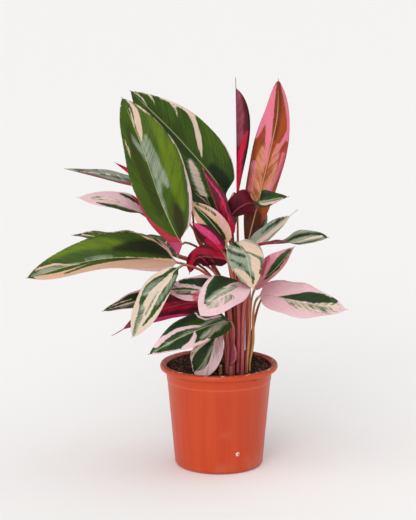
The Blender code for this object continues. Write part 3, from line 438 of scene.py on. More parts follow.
        veined(SAGE, 2.4, (0.22, -0.02, 2), (0.38, 0.02, 4), (0.52, 0.1, 5), (0.66, 0.18, 4.6),
               (0.77, 0.3, 2)),
        mark(CREAM, (0.12, 0.2, 0.7), (0.43, 0.1, 1), (0.67, 0.17, 1), (0.78, 0.25, 0.7)),
        veined(CREAM, 0.2, (0.5, -0.4, 5), (0.67, -0.33, 5.6), (0.8, 0, 4)),
        mark(PINK, (0.3, 1, 0.9), (0.6, 1, 1.1)))),
    "leaf_front_low": Look(blush=0.0, warmth=0.2, stalk=0.8, marks=(
        mark(DARK, (0.3, 0.85, 6), (0.5, 0.8, 5), (0.7, 0.8, 3)),
        veined(DARK, 0.4, (0.5, -0.3, 5), (0.75, -0.3, 5)),
        mark(SAGE, (0.1, -0.1, 4), (0.24, -0.35, 6), (0.38, -0.5, 4), (0.46, -0.6, 1.6)),
        mark(SAGE, (0.13, 0.35, 1.2), (0.33, 0.16, 1.2), (0.5, 0.1, 1), (0.7, 0.02, 1.1),
             (0.92, -0.1, 0.8)),
        mark(CREAM, (0.18, -0.15, 0.5), (0.26, -0.48, 1.2), (0.37, -0.72, 1.4), (0.46, -0.9, 1.2)),
        mark(CREAM, (0.25, -0.1, 0.3), (0.34, -0.38, 0.9), (0.42, -0.58, 0.5)),
        mark(GREEN, (0.14, -0.5, 1), (0.24, -0.75, 2.2), (0.36, -0.95, 2)),
        mark(PINK, (0.1, 0.6, 1.2), (0.2, 0.42, 1.5), (0.3, 0.42, 1.4), (0.35, 0.7, 1.4),
             (0.36, 0.95, 1.4)),
        mark(PINK, (0.38, 0.16, 0.8), (0.48, 0.32, 2.6), (0.6, 0.48, 2.4), (0.74, 0.58, 3),
             (0.88, 0.85, 5)),
        mark(PINK, (0.46, 0.05, 0.6), (0.5, -0.3, 2.6), (0.57, -0.66, 3.8), (0.66, -0.95, 4.6)),
        mark(PINK, (0.4, -0.95, 1.4), (0.5, -0.9, 2.6), (0.62, -1, 3.6)),
        mark(PINK, (0.7, -1, 1.8), (0.95, -1, 1.8)))),
    "leaf_pot_edge": Look(olive=0.12, blush=0.0, warmth=0.2, stalk=0.8, marks=(
        veined(DARK, 0.5, (0.4, 0.4, 5), (0.7, 0.5, 6), (0.9, 0.8, 6)),
        mark(SAGE, (0.24, 0.1, 1.2), (0.4, 0.05, 1.6), (0.6, -0.08, 1.2), (0.85, -0.3, 0.8)),
        mark(PINK, (0.05, -0.3, 8), (0.26, -0.5, 9.5), (0.5, -0.66, 10), (0.7, -0.8, 10), (0.92, -0.9, 7)),
        veined(SAGE, -0.6, (0.2, -0.55, 6), (0.5, -0.7, 7), (0.8, -0.8, 6)),
        mark(CREAM, (0.28, 0.62, 1.2), (0.42, 0.72, 2), (0.6, 0.76, 1.6), (0.8, 0.9, 1.2)),
        mark(CREAM, (0.4, 1, 1.4), (0.7, 1, 1.6), (0.95, 1, 1.2)))),
    "leaf_front_top": Look(ground=SAGE, warmth=0.4, stalk=0.6, marks=(
        mark(DARK, (0.02, 0.6, 4), (0.06, 0.35, 3.6), (0.2, -0.1, 2.6), (0.33, -0.25, 1.2)),
        veined(DARK, 1, (0.15, 0.9, 1.6), (0.27, 0.5, 2.4), (0.38, 0.1, 1.6)),
        veined(DARK, 0.6, (0.4, 0.83, 1.4), (0.53, 0.5, 1.8), (0.6, 0.17, 1.2)),
        veined(CREAM, 0.3, (0.08, 0.95, 1.8), (0.17, 0.5, 2.2), (0.28, 0.1, 1.6)),
        mark(CREAM, (0.1, -0.35, 4), (0.3, -0.5, 8), (0.42, -0.6, 8.5), (0.55, -0.55, 7.5),
             (0.75, -0.6, 6), (0.92, -0.4, 4)),
        mark(CREAM, (0.62, 0.83, 2.6), (0.7, 0.55, 5), (0.8, 0.1, 7), (0.92, 0, 5)),
        mark(GREEN, (0.3, -0.1, 1), (0.4, -0.4, 1.8), (0.5, -0.85, 2.4), (0.62, -0.95, 2.4),
             (0.74, -0.92, 1.4)),
        mark(GREEN, (0.65, 0.25, 1.6), (0.73, 0, 2.8), (0.8, -0.25, 2.4), (0.88, -0.17, 1.1)),
        veined(SAGE, 0.6, (0.55, 0.33, 2.3), (0.63, 0, 2.3), (0.73, -0.25, 2.3)))),
    "leaf_cup_right": Look(ground=PINK, olive=0.15, warmth=0.85, blush=0.6, stalk=0.55, marks=(
        veined(RED, 0.6, (0.27, -0.33, 2.4), (0.38, -0.65, 3), (0.57, -0.9, 2.6)),
        veined(RED, 0.5, (0.48, 0.95, 4), (0.63, 0.78, 3.6), (0.78, 0.6, 2.8)),
        veined(CREAM, 0.9, (0.38, 0.95, 3.2), (0.55, 0.95, 3.6), (0.72, 0.85, 3), (0.88, 0.9, 1.6)),
        mark(GREEN, (0.27, 0.1, 1.5), (0.38, 0.1, 6), (0.5, 0.02, 8.5), (0.62, -0.08, 7.5),
             (0.75, -0.17, 6), (0.88, -0.25, 3.6)),
        veined(DARK, 0.9, (0.42, 0.08, 4.4), (0.57, 0, 5.4), (0.72, -0.08, 3.2)),
        mark(CREAM, (0.3, 0.3, 0.6), (0.45, 0.32, 1.2), (0.58, 0.42, 0.8)))),
    "leaf_arm_right": Look(ground=SAGE, warmth=0.0, blush=0.05, stalk=0.5, marks=(
        mark(GREEN, (0.37, 0.17, 2.2), (0.55, -0.45, 4), (0.77, -0.6, 3.6), (0.93, -0.8, 4.4),
             (1, -0.2, 3)),
        mark(CREAM, (0.28, 0, 2.2), (0.42, 0.4, 3), (0.57, 0.5, 3.4), (0.73, 0, 2.6), (0.9, -0.35, 1.6)),
        mark(GREEN, (0.37, 0.1, 2), (0.5, 0.6, 2.4), (0.65, 0.9, 3), (0.8, 0.6, 3), (0.9, 0.2, 2.2)),
        veined(DARK, 0.4, (0.45, -0.5, 3), (0.7, -0.5, 2.6), (0.93, -0.8, 2)),
        mark(RED, (0, 0, 9), (0.15, 0, 7), (0.3, 0, 2.5)))),
    "leaf_arm_right_up": Look(ground=SAGE, warmth=0.0, blush=0.1, stalk=0.6, marks=(
        mark(CREAM, (0.23, 0.33, 3.2), (0.47, 0.35, 3.8), (0.68, 0.45, 2.8), (0.92, 0.4, 2)),
        mark(DARK, (0.33, -0.42, 1.8), (0.45, -0.5, 2.2), (0.6, -0.45, 1.8), (0.77, -0.8, 1.6)),
        mark(CREAM, (0.5, -0.7, 0.7), (0.72, -0.9, 0.7), (0.92, -0.7, 1)),
        veined(PINK, 0.6, (0.15, 0.17, 2.6), (0.33, 0.17, 2.4)))),
    "leaf_blue_back": Look(ground=SAGE, warmth=0.0, marks=(
        mark(DARK, (0, 0, 12), (0.3, 0.1, 9), (0.5, 0.4, 4), (0.65, 0.6, 1)),
        veined(DARK, 0.4, (0.3, -0.4, 7), (0.7, -0.2, 5)))),
    "leaf_twist_right": Look(warmth=0.45, olive=0.05, marks=(
        mark(CREAM, (0.6, 0.5, 1.4), (0.72, 0.5, 4.2), (0.88, 0.6, 4.4)),
        mark(PINK, (0.78, 0.95, 2), (0.9, 0.9, 2)),
        veined(SAGE, 0.6, (0.58, 0.1, 3), (0.7, 0.2, 3.4), (0.86, 0.1, 3)),
        mark(DARK, (0.58, -0.6, 3), (0.72, -0.6, 3)),
        veined(DARK, 0, (0.1, 0.2, 10), (0.25, 0.2, 8)),
        mark(CREAM, (0.5, -1, 0.8), (0.57, -0.1, 0.7), (0.63, 0.6, 0.8)))),
    "leaf_rolled_red": Look(stalk=0.7, warmth=0.7, blush=0.8, marks=(
        veined(DARK, 0.4, (0.2, 0.6, 6), (0.5, 0.5, 7), (0.8, 0.4, 4)),
        veined(RED, 0.2, (0, -0.4, 7), (0.14, -0.5, 7), (0.3, -0.5, 5), (0.5, -0.6, 4)),
        mark(PINK, (0.14, -0.5, 0.8), (0.28, -0.62, 1.3), (0.45, -0.7, 1.5), (0.62, -0.64, 1.2),
             (0.78, -0.4, 1), (0.92, -0.1, 1)),
        mark(CREAM, (0.9, 0.2, 0.6), (0.97, 0, 1)))),
    "leaf_peach_mid": Look(ground=CREAM, olive=0.1, warmth=0.9, blush=0.3, stalk=0.5, marks=(
        mark(GREEN, (0.12, 0.15, 2), (0.28, 0.08, 4.4), (0.48, -0.05, 5.6), (0.68, -0.15, 4.6),
             (0.85, -0.17, 1.8)),
        veined(DARK, 0.9, (0.28, 0, 2.8), (0.48, -0.08, 3.8), (0.72, -0.22, 2.8)),
        veined(GREEN, 0.3, (0.53, 0.67, 1.6), (0.7, 0.67, 1.9), (0.87, 0.67, 1.5)),
        veined(PINK, 0.5, (0.25, 0.5, 3), (0.47, 0.9, 3), (0.63, 0.95, 2)))),
    "leaf_crimson_edge": Look(stalk=0.7, blush=0.75, marks=(
        mark(DARK, (0.2, -0.9, 2.4), (0.5, -0.95, 2.6), (0.75, -0.9, 2)),
        veined(DARK, 0.4, (0.45, 0.8, 4), (0.8, 0.7, 3)),
        veined(RED, 0.8, (0.05, 0.1, 6), (0.2, 0.2, 6), (0.4, 0.4, 5)),
        veined(PINK, 1.2, (0.2, -0.25, 2.2), (0.4, -0.2, 5), (0.65, -0.15, 5.6), (0.88, -0.2, 3)))),
    "leaf_broad_right": Look(ground=PINK, warmth=0.1, blush=0.04, stalk=0.95, marks=(
        veined(CREAM, 1, (0.32, 0.1, 2), (0.5, 0.25, 6), (0.68, 0.3, 8), (0.88, 0.1, 5)),
        mark(SAGE, (0.3, 0.06, 0.4), (0.4, 0.2, 0.8), (0.48, 0.34, 0.3)),
        mark(SAGE, (0.42, 0.08, 0.4), (0.54, 0.3, 1), (0.66, 0.56, 0.9), (0.74, 0.74, 0.4)),
        mark(SAGE, (0.5, 0.05, 0.4), (0.62, 0.24, 0.9), (0.74, 0.46, 0.7), (0.82, 0.6, 0.3)),
        mark(SAGE, (0.6, 0.04, 0.4), (0.72, 0.2, 0.9), (0.84, 0.36, 0.4)),
        mark(SAGE, (0.72, 0.5, 0.4), (0.78, 0.75, 0.8), (0.82, 0.9, 0.4)),
        veined(SAGE, -0.2, (0.4, 0.15, 3), (0.6, 0.25, 5), (0.8, 0.2, 4)),
        mark(GREEN, (0.24, -0.02, 0.6), (0.36, -0.18, 3.8), (0.48, -0.3, 6.6), (0.62, -0.42, 8.6),
             (0.74, -0.6, 7.6), (0.85, -0.85, 4)),
        veined(DARK, -0.2, (0.4, -0.2, 4), (0.6, -0.35, 6), (0.75, -0.5, 5)),
        mark(CREAM, (0.62, -0.06, 0.4), (0.76, -0.24, 0.9), (0.9, -0.56, 1)),
        mark(CREAM, (0.2, 0.02, 0.5), (0.5, 0, 0.7), (0.9, 0, 0.5)),
        mark(PINK, (0.45, -1, 1.8), (0.65, -1, 1.6), (0.8, -1, 1.4)))),
    "shoot_sheath": Look(ground=SAGE, warmth=0.5, blush=0.1, stalk=0.7, marks=(
        mark(CREAM, (0.05, -0.7, 0.8), (0.5, -0.8, 0.9), (0.9, -0.5, 0.6)),
        veined(DARK, 0.2, (0.1, 0.4, 3), (0.7, 0.4, 3)))),
}


class Graph:
    """Short ways to add nodes and links to a shader or geometry node tree."""

    def __init__(self, tree: NodeTree) -> None:
        """Keep the tree that the nodes go into."""
        self.tree = tree

    def put(self, socket: Socket, value: Any) -> None:
        """Link a socket to an input, or set the input to a constant."""
        if isinstance(value, Socket):
            self.tree.links.new(value, socket)
        elif isinstance(value, tuple) and len(value) == 3 and socket.type == "RGBA":
            socket.default_value = (*value, 1.0)
        else:
            socket.default_value = value

    def fill(self, node: Node, values: dict[Any, Any]) -> None:
        """Put constants or sockets into a node's inputs, by input name or number."""
        for key, value in values.items():
            self.put(node.inputs[key], value)

    def node(self, kind: str, values: dict[Any, Any] | None = None, **settings: Any) -> Node:
        """Add a node.

        Args:
            kind: the node's type name.
            values: constants or sockets for its inputs, by input name or number.
            settings: the node's own settings.

        Returns:
            The new node.
        """
        made = self.tree.nodes.new(kind)
        for key, value in settings.items():
            setattr(made, key, value)
        self.fill(made, values or {})
        return made

    def out(self, kind: str, values: dict[Any, Any] | None = None, **settings: Any) -> Socket:
        """Add a node and return its first output."""
        return self.node(kind, values, **settings).outputs[0]

    def math(self, operation: str, *values: Any) -> Socket:
        """Return the result of a Math node on the values."""
        return self.out("ShaderNodeMath", dict(enumerate(values)), operation=operation)

    def times(self, first: Any, second: Any) -> Socket:
        """Return the product of two values."""
        return self.math("MULTIPLY", first, second)

    def vector(self, operation: str, *values: Any) -> Socket:
        """Return the vector result of a Vector Math node on the values."""
        return self.out("ShaderNodeVectorMath", dict(enumerate(values)), operation=operation)

    def join(self, x: Any, y: Any, z: Any = 0.0) -> Socket:
        """Return a vector made of three values."""
        return self.out("ShaderNodeCombineXYZ", {0: x, 1: y, 2: z})

    def split(self, vector: Socket) -> Any:
        """Return the x, y and z outputs of a vector."""
        return self.node("ShaderNodeSeparateXYZ", {0: vector}).outputs

    def blend(self, share: Any, first: Any, second: Any) -> Socket:
        """Return the blend of two colours, the share of the second one going from 0 to 1."""
        values = {0: share, 6: first, 7: second}
        return self.node("ShaderNodeMix", values, data_type="RGBA", clamp_factor=True).outputs[2]

    def ramp(self, value: Any, low: float, high: float, first: float = 0.0, second: float = 1.0) -> Socket:
        """Return a value that eases from first to second as another goes from low to high."""
        return self.out("ShaderNodeMapRange", {0: value, 1: low, 2: high, 3: first, 4: second},
                        interpolation_type="SMOOTHSTEP")

    def coats(self, under: Any, *layers: tuple[Any, Any, float, float, float]) -> Socket:
        """Lay colours over one another.

        Args:
            under: the colour below.
            layers: for each coat its colour, as a socket, as linear values or as a screen code, the
                value that places it, the values where it starts and is full, and its share there.

        Returns:
            The output with the upper colour.
        """
        for over, value, low, high, share in layers:
            over = linear(over) if isinstance(over, str) else over
            under = self.blend(self.ramp(value, low, high, 0.0, share), under, over)
        return under

    def noise(self, vector: Any, scale: float, detail: float = 2.0, rough: float = 0.5) -> Socket:
        """Return noise from 0 to 1 over a vector."""
        return self.out("ShaderNodeTexNoise",
                        {"Vector": vector, "Scale": scale, "Detail": detail, "Roughness": rough})

    def attribute(self, name: str) -> Any:
        """Return the x, y and z outputs of a point attribute."""
        return self.split(self.node("ShaderNodeAttribute", attribute_name=name).outputs["Vector"])


class Skin(Graph):
    """A material with its nodes and its shader."""

    def __init__(self, name: str) -> None:
        """Make the material.

        Args:
            name: the material's name.
        """
        self.material = bpy.data.materials.new(name)
        self.material.use_nodes = True
        super().__init__(self.material.node_tree)
        self.shader = self.tree.nodes["Principled BSDF"]

    def here(self) -> Socket:
        """Return the place on the object."""
        return self.node("ShaderNodeTexCoord").outputs["Object"]

    def dress(self, colour: Any, rough: Any, gloss: float, height: Socket, strength: float,
              depth: float) -> Socket:
        """Set the shader's colour, roughness, gloss and relief.

        Args:
            colour: the base colour.
            rough: the roughness.
            gloss: the specular level.
            height: what the relief follows.
            strength: how strongly the relief shows.
            depth: the depth of the relief in millimetres.

        Returns:
            The normals with the relief.
        """
        bump = self.out("ShaderNodeBump", {"Strength": strength, "Distance": depth * MM, "Height": height})
        self.fill(self.shader, {"Base Color": colour, "Roughness": rough, "Specular IOR Level": gloss,
                                "Normal": bump})
        return bump


class Group(Graph):
    """A shader group with named inputs and outputs."""

    def __init__(self, name: str, inputs: dict[str, Colour | float], outputs: dict[str, str]) -> None:
        """Make the group.

        Args:
            name: the group's name.
            inputs: its input names with their starting values, a colour or a number.
            outputs: its output names with their socket types.
        """
        super().__init__(bpy.data.node_groups.new(name, "ShaderNodeTree"))
        for title, value in inputs.items():
            colour = isinstance(value, tuple)
            kind = "NodeSocketColor" if colour else "NodeSocketFloat"
            socket = self.tree.interface.new_socket(title, in_out="INPUT", socket_type=kind)
            socket.default_value = (*value, 1.0) if colour else value
        for title, kind in outputs.items():
            self.tree.interface.new_socket(title, in_out="OUTPUT", socket_type=kind)
        self.given = self.node("NodeGroupInput").outputs
        self.result = self.node("NodeGroupOutput")


@dataclass(frozen=True)
class Ink:
    """The colours, as screen codes, that the layers have on one side of the blades."""

    name: str
    deep: str
    bright: str
    dark: str
    sage: str
    cream: str
    peach: str
    pale_pink: str
    strong_pink: str
    red: str
    rib: str
    rough: float
    glow: float


UPPER_INK = Ink("blade_upper", "2A4E12", "729004", "16281A", "A6B9A2", "F2E9D2", "F0C49E", "F9DEE2",
                "EA6C96", "D01030", "D6DCA6", 0.36, 0.30)
WINE_INK = Ink("blade_under_wine", "741428", "8C1E36", "300A16", "9C4A60", "E8788C", "E87A70", "EC5C94",
               "E42C74", "DE0A34", "C85A66", 0.42, 0.28)
CORAL_INK = Ink("blade_under_coral", "CC5620", "DC6A28", "501A14", "EE8E5C", "F2AC86", "F09A6C", "FFB4C6",
                "FB7CA4", "C82440", "F6C090", 0.42, 0.36)


@dataclass(frozen=True)
class Streak:
    """A pattern along the side veins.

    along and across say how fast it changes along and across the blade, level sets it apart from the
    others, and the rest shape its noise.
    """

    along: float
    across: float
    level: float
    scale: float
    detail: float
    rough: float


STREAKS = {
    "Feather": Streak(22.0, 4.0, 0.0, 1.0, 2.5, 0.6),
    "Veins": Streak(75.0, 5.0, 0.0, 1.0, 2.0, 0.5),
    "Blotches": Streak(1.0, 1.0, 0.7, 4.5, 3.0, 0.6),
    "Brush": Streak(42.0, 2.0, 3.0, 1.0, 3.0, 0.65),
}


class LeafColours:
    """The materials of the leaves, which read the strokes and the place from the meshes."""

    DRY_TIP = "B98A4A"
    # Dark olive for painted shade and for darker green on olive leaves.
    DARK_OLIVE_AND_SHADE = "3C2C08"
    STALK_STRETCH = 0.06

    def streaks(self) -> NodeTree:
        """Build the group that gives the streaks along the veins of a blade, each from 0 to 1."""
        group = Group("vein_streaks", {"Length": 1.0}, dict.fromkeys(STREAKS, "NodeSocketFloat"))
        u, v, _ = group.split(group.out("ShaderNodeUVMap", uv_map="grain"))
        along = group.times(u, group.given["Length"])
        for title, streak in STREAKS.items():
            spot = group.join(group.times(along, streak.along), group.times(v, streak.across), streak.level)
            group.fill(group.result, {title: group.noise(spot, streak.scale, streak.detail, streak.rough)})
        return group.tree

    def markings(self, streaks: NodeTree) -> NodeTree:
        """Build the group that composes the layers of a blade into its colour.

        Args:
            streaks: the group of streaks along the veins.

        Returns:
            The group, with the blade's colour, the height of its relief and a mask of its pale parts.
        """
        names = ("Deep", "Bright", "Dark", "Sage", "Cream", "Peach", "Pale Pink", "Strong Pink", "Red",
                 "Rib", "Dry")
        group = Group("blade_markings", dict.fromkeys(names, (0.5, 0.5, 0.5)),
                      {"Color": "NodeSocketColor", "Height": "NodeSocketFloat", "Pale": "NodeSocketFloat"})
        deep, bright, shadow, dull, white, peach, pale_pink, strong_pink, scarlet, pale_rib, dry = (
            group.given[name] for name in names)
        pattern = group.node("ShaderNodeGroup", node_tree=streaks).outputs
        feather, veins, blotches, brush = (group.math("SUBTRACT", pattern[title], 0.5) for title in STREAKS)
        backlit_glow, dark, sage = group.attribute("tint_a")
        cream, pink, red = group.attribute("tint_b")
        olive, warmth, blush = group.attribute("mood")
        t, rib, run = group.attribute("place")

        def cover(distance: Any, reach: float, soft: float, sway: float = 0.0) -> Socket:
            """Return where a layer lies, from its distance inside its edge in millimetres.

            Args:
                distance: how far inside the layer's edge a point lies.
                reach: how far the streaks push the edge out and in.
                soft: half the width of the edge.
                sway: how far the blotches push it.

            Returns:
                The mask, from 0 to 1.
            """
            pushed = group.math("ADD", group.math("MULTIPLY_ADD", feather, reach, distance),
                                group.times(veins, reach * 0.3))
            return group.ramp(group.math("MULTIPLY_ADD", blotches, sway, pushed), -soft, soft)

        # The green runs from deep to bright with the leaf's olive tone and the feather streaks, and is
        # raised further where the painted backlight glow lies.
        green_and_glow = group.math("ADD", group.times(olive, 0.62), group.times(feather, 0.5))
        green_and_glow = group.math("MAXIMUM", green_and_glow, cover(backlit_glow, 9.0, 6.0))
        colour = group.coats(group.blend(green_and_glow, deep, bright),
                             (group.blend(0.4, bright, pale_rib), brush, 0.02, 0.26, 0.2))
        shade = group.math("ADD", group.ramp(blotches, -0.25, 0.1, 0.4, 0.0),
                           group.ramp(brush, -0.2, 0.0, 0.18, 0.0))
        colour = group.blend(shade, colour, shadow)
        # The dark layer's colour: painted shade, dark olive on olive leaves, which also gives darker
        # patches of the leaf's own green.
        brown = group.coats(shadow, (self.DARK_OLIVE_AND_SHADE, olive, 0.35, 0.6, 0.8))
        colour = group.blend(group.times(cover(dark, 6.0, 4.0, 6.0), 0.9), colour, brown)
        # The sage colour, streaked with white, which also stands in for a painted glossy sheen along the
        # midribs.
        muted = group.coats(dull, (white, brush, -0.1, 0.2, 0.55), (deep, brush, -0.05, -0.25, 0.3))
        colour = group.blend(group.times(cover(sage, 3.5, 2.6, 8.0), 0.84), colour, muted)
        tan = group.coats(group.blend(warmth, white, peach), (peach, feather, 0.0, 0.2, 0.2),
                          (dull, brush, -0.04, -0.26, 0.42), (pale_pink, blotches, 0.02, 0.2, 0.3))
        rose = group.coats(group.blend(blush, pale_pink, strong_pink), (white, feather, 0.05, -0.2, 0.35),
                           (dull, brush, -0.06, -0.28, 0.36), (strong_pink, blotches, 0.0, 0.2, 0.14))
        crimson = group.coats(scarlet, (strong_pink, feather, -0.15, 0.15, 0.4))
        masks = (cover(cream, 2.6, 0.7, 2.5), cover(pink, 2.6, 0.8, 2.5), cover(red, 4.0, 2.0, 3.0))
        for mask, tint in zip(masks, (tan, rose, crimson)):
            colour = group.blend(mask, colour, tint)
        line = group.times(group.ramp(group.math("ABSOLUTE", rib), 0.25, 0.95, 0.72, 0.0),
                           group.ramp(t, 0.8, 1.0, 1.0, 0.0))
        colour = group.coats(group.blend(line, colour, pale_rib),
                             (dry, group.math("MULTIPLY_ADD", feather, 8.0, run), 2.5, 0.5, 0.85),
                             ((0.0, 0.0, 0.0), veins, 0.1, -0.2, 0.07))
        group.fill(group.result, {
            "Color": colour, "Height": group.math("ADD", veins, group.times(feather, 0.8)),
            "Pale": group.math("MAXIMUM", group.math("MAXIMUM", masks[0], masks[1]), masks[2])})
        return group.tree

    def blade(self, ink: Ink, markings: NodeTree) -> Material:
        """Build the material of one side of the blades.

        Args:
            ink: the colours of that side.
            markings: the group that composes them.

        Returns:
            The material, a satin skin that lets a part of the light through.
        """
        skin = Skin(ink.name)
        codes = (ink.deep, ink.bright, ink.dark, ink.sage, ink.cream, ink.peach, ink.pale_pink,
                 ink.strong_pink, ink.red, ink.rib, self.DRY_TIP)
        tints = dict(enumerate(map(linear, codes)))
        pattern = skin.node("ShaderNodeGroup", tints, node_tree=markings).outputs
        rough = skin.math("MULTIPLY_ADD", pattern["Pale"], 0.08, ink.rough)
        bump = skin.dress(pattern["Color"], rough, 0.28, pattern["Height"], 0.5, 0.9)
        through = skin.out("ShaderNodeBsdfTranslucent", {"Color": pattern["Color"], "Normal": bump})
        both = skin.out("ShaderNodeMixShader", {0: ink.glow, 1: skin.shader.outputs[0], 2: through})
        skin.put(skin.tree.nodes["Material Output"].inputs["Surface"], both)
        return skin.material

    def stalk(self, streaks: NodeTree) -> Material:
        """Build the material of the stalks, whose tone runs from brown through orange to pink.

        Args:
            streaks: the group of streaks, stretched along the stalk.

        Returns:
            The material.
        """
        skin = Skin("stalk_skin")
        tone, climb, _ = skin.attribute("mood")
        _, seam, run = skin.attribute("place")
        lines = skin.node("ShaderNodeGroup", {0: self.STALK_STRETCH}, node_tree=streaks).outputs
        shift = skin.math("MULTIPLY_ADD", skin.math("SUBTRACT", lines["Blotches"], 0.5), 0.7, climb)
        colour = skin.coats(
            linear("5A121A"), ("A8442A", tone, 0.1, 0.45, 1.0), ("D0606A", tone, 0.45, 0.75, 1.0),
            ("B4752C", tone, 0.8, 0.95, 1.0), ("C0603E", shift, 0.45, 1.1, 0.45),
            ("6E3A24", shift, 0.25, -0.1, 0.45), ("8E7A4C", run, 14.0, 9.0, 0.75),
            ("E08A6C", lines["Veins"], 0.46, 0.66, 0.26), ("3C1216", lines["Feather"], 0.54, 0.32, 0.62),
            ("D8C07A", skin.math("ABSOLUTE", seam), 0.7, 0.25, 0.6))
        rough = skin.ramp(lines["Blotches"], 0.3, 0.7, 0.34, 0.5)
        skin.dress(colour, rough, 0.32, lines["Veins"], 0.4, 0.3)
        return skin.material

    def build(self) -> dict[str, Material]:
        """Build every leaf material and return them by name."""
        streaks = self.streaks()
        markings = self.markings(streaks)
        made = [self.blade(ink, markings) for ink in (UPPER_INK, WINE_INK, CORAL_INK)]
        return {material.name: material for material in (*made, self.stalk(streaks))}


def place_object(name: str, data: Any) -> Piece:
    """Make an object of some data, place it in the scene and return it.

    Args:
        name: the object's name.
        data: its mesh, lamp or camera.

    Returns:
        The object.
    """
    made = bpy.data.objects.new(name, data)
    bpy.context.scene.collection.objects.link(made)
    return made


def add_piece(name: str, mesh: Mesh, replaced: str) -> Piece:
    """Add a finished mesh as a piece of the plant.

    Args:
        name: the piece's name.
        mesh: its mesh, in the frame's place.
        replaced: the node that it stands for.

    Returns:
        The new object.
    """
    piece = place_object(name, mesh)
    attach(piece, BODY)
    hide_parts(replaced)
    return piece


def outward(mesh: Mesh) -> Mesh:
    """Turn the faces of a closed mesh outwards and return it.

    Args:
        mesh: the mesh, which is changed.

    Returns:
        The same mesh.
    """
    work = bmesh.new()
    work.from_mesh(mesh)
    if work.calc_volume(signed=True) < 0:
        bmesh.ops.reverse_faces(work, faces=work.faces)
        work.to_mesh(mesh)
    work.free()
    return mesh


def ring_faces(index: Array) -> Array:
    """Return the faces between rings of points, whose numbers stand one ring a row."""
    following = np.roll(index, -1, axis=1)
    return np.stack([index[:-1], following[:-1], following[1:], index[1:]], axis=-1).reshape(-1, 4)


def closed_mesh(name: str, points: list[Any], sides: int, material: Material,
                sharp: float | None = None) -> Mesh:
    """Make a closed mesh from rings of points.

    Args:
        name: the mesh's name.
        points: the middle of the bottom, the rings one after another, and the middle of the top, in
            millimetres.
        sides: how many points a ring has.
        material: the mesh's material.
        sharp: the least angle of a sharp edge in degrees, or None for a mesh that is smooth all over.

    Returns:
        The mesh in metres.
    """
    top = len(points) - 1
    index = np.arange(1, top).reshape(-1, sides)
    faces = ring_faces(index).tolist()
    ends = [zip(ring.tolist(), np.roll(ring, -1).tolist()) for ring in (index[0], index[-1])]
    faces += [(0, b, a) for a, b in ends[0]] + [(a, b, top) for a, b in ends[1]]
    mesh = bpy.data.meshes.new(name)
    mesh.from_pydata((np.array(points) * MM).tolist(), [], faces)
    mesh.materials.append(material)
    mesh.shade_smooth()
    if sharp is not None:
        mesh.set_sharp_from_angle(angle=math.radians(sharp))
    return outward(mesh)


def unit_rows(vectors: Array) -> Array:
    """Return the rows of an array at length 1."""
    return vectors / np.linalg.norm(vectors, axis=-1, keepdims=True)


def smooth_share(values: Array) -> Array:
    """Return values from 0 to 1 eased at both ends."""
    values = np.clip(values, 0.0, 1.0)
    return values * values * (3 - 2 * values)


def by_side(right: Array, pair: Point) -> Array:
    """Return the second value of a pair where right holds, and the first one elsewhere."""
    return np.where(right, pair[1], pair[0])


def spline_point(points: Array, place: float) -> Array:
    """Return a point of a smooth curve through points.

    Args:
        points: the points, one a row.
        place: where on the curve, counted in points.

    Returns:
        The point.
    """
    last = len(points) - 1
    index = min(int(place), last - 1)
    before = points[index - 1] if index > 0 else points[0] * 2 - points[1]
    after = points[index + 2] if index + 2 <= last else points[last] * 2 - points[last - 1]
    corners = (before, points[index], points[index + 1], after)
    knots = [0.0]
    for start, end in zip(corners, corners[1:]):
        knots.append(knots[-1] + max(float(np.linalg.norm(end - start)), 1e-6) ** 0.5)
    at = knots[1] + (place - index) * (knots[2] - knots[1])

    def between(first: Array, second: Array, low: int, high: int) -> Array:
        """Return the mix of two points for the knot value at."""
        span = knots[high] - knots[low]
        return first * ((knots[high] - at) / span) + second * ((at - knots[low]) / span)

    a1, a2, a3 = (between(corners[i], corners[i + 1], i, i + 1) for i in range(3))
    return between(between(a1, a2, 0, 2), between(a2, a3, 1, 3), 1, 2)


class Spine:
    """The middle line of a leaf, from the foot of its stalk to its tip, in millimetres."""

    SOIL_LEVEL = 141.0
    STALK_DEPTH = 13.0
    FIRST_LIFTS = (2.0, 12.0)
    SAMPLES = 40

    def __init__(self, leaf: Leaf) -> None:
        """Sample the line closely.

        Args:
            leaf: the leaf that has the line.
        """
        x, y = leaf.stalk[0][:2]
        lifts = (-self.STALK_DEPTH, *self.FIRST_LIFTS)
        points = [(x, y, self.SOIL_LEVEL + lift) for lift in lifts] + list(leaf.stalk[1:])
        knots = np.array(points + list(leaf.blade), dtype=float)
        count = (len(knots) - 1) * self.SAMPLES + 1
        self.spots = np.array([spline_point(knots, i / self.SAMPLES) for i in range(count)])
        steps = np.linalg.norm(np.diff(self.spots, axis=0), axis=1)
        self.lengths = np.concatenate([[0.0], np.cumsum(steps)])
        self.blade_start = float(self.lengths[len(points) * self.SAMPLES])
        self.total = float(self.lengths[-1])
        self.slopes = unit_rows(np.gradient(self.spots, self.lengths, axis=0))

    def at(self, lengths: Array) -> tuple[Array, Array]:
        """Return the points and the directions at some lengths along the line."""
        spots, slopes = (np.stack([np.interp(lengths, self.lengths, rows[:, i]) for i in range(3)], axis=1)
                         for rows in (self.spots, self.slopes))
        return spots, unit_rows(slopes)


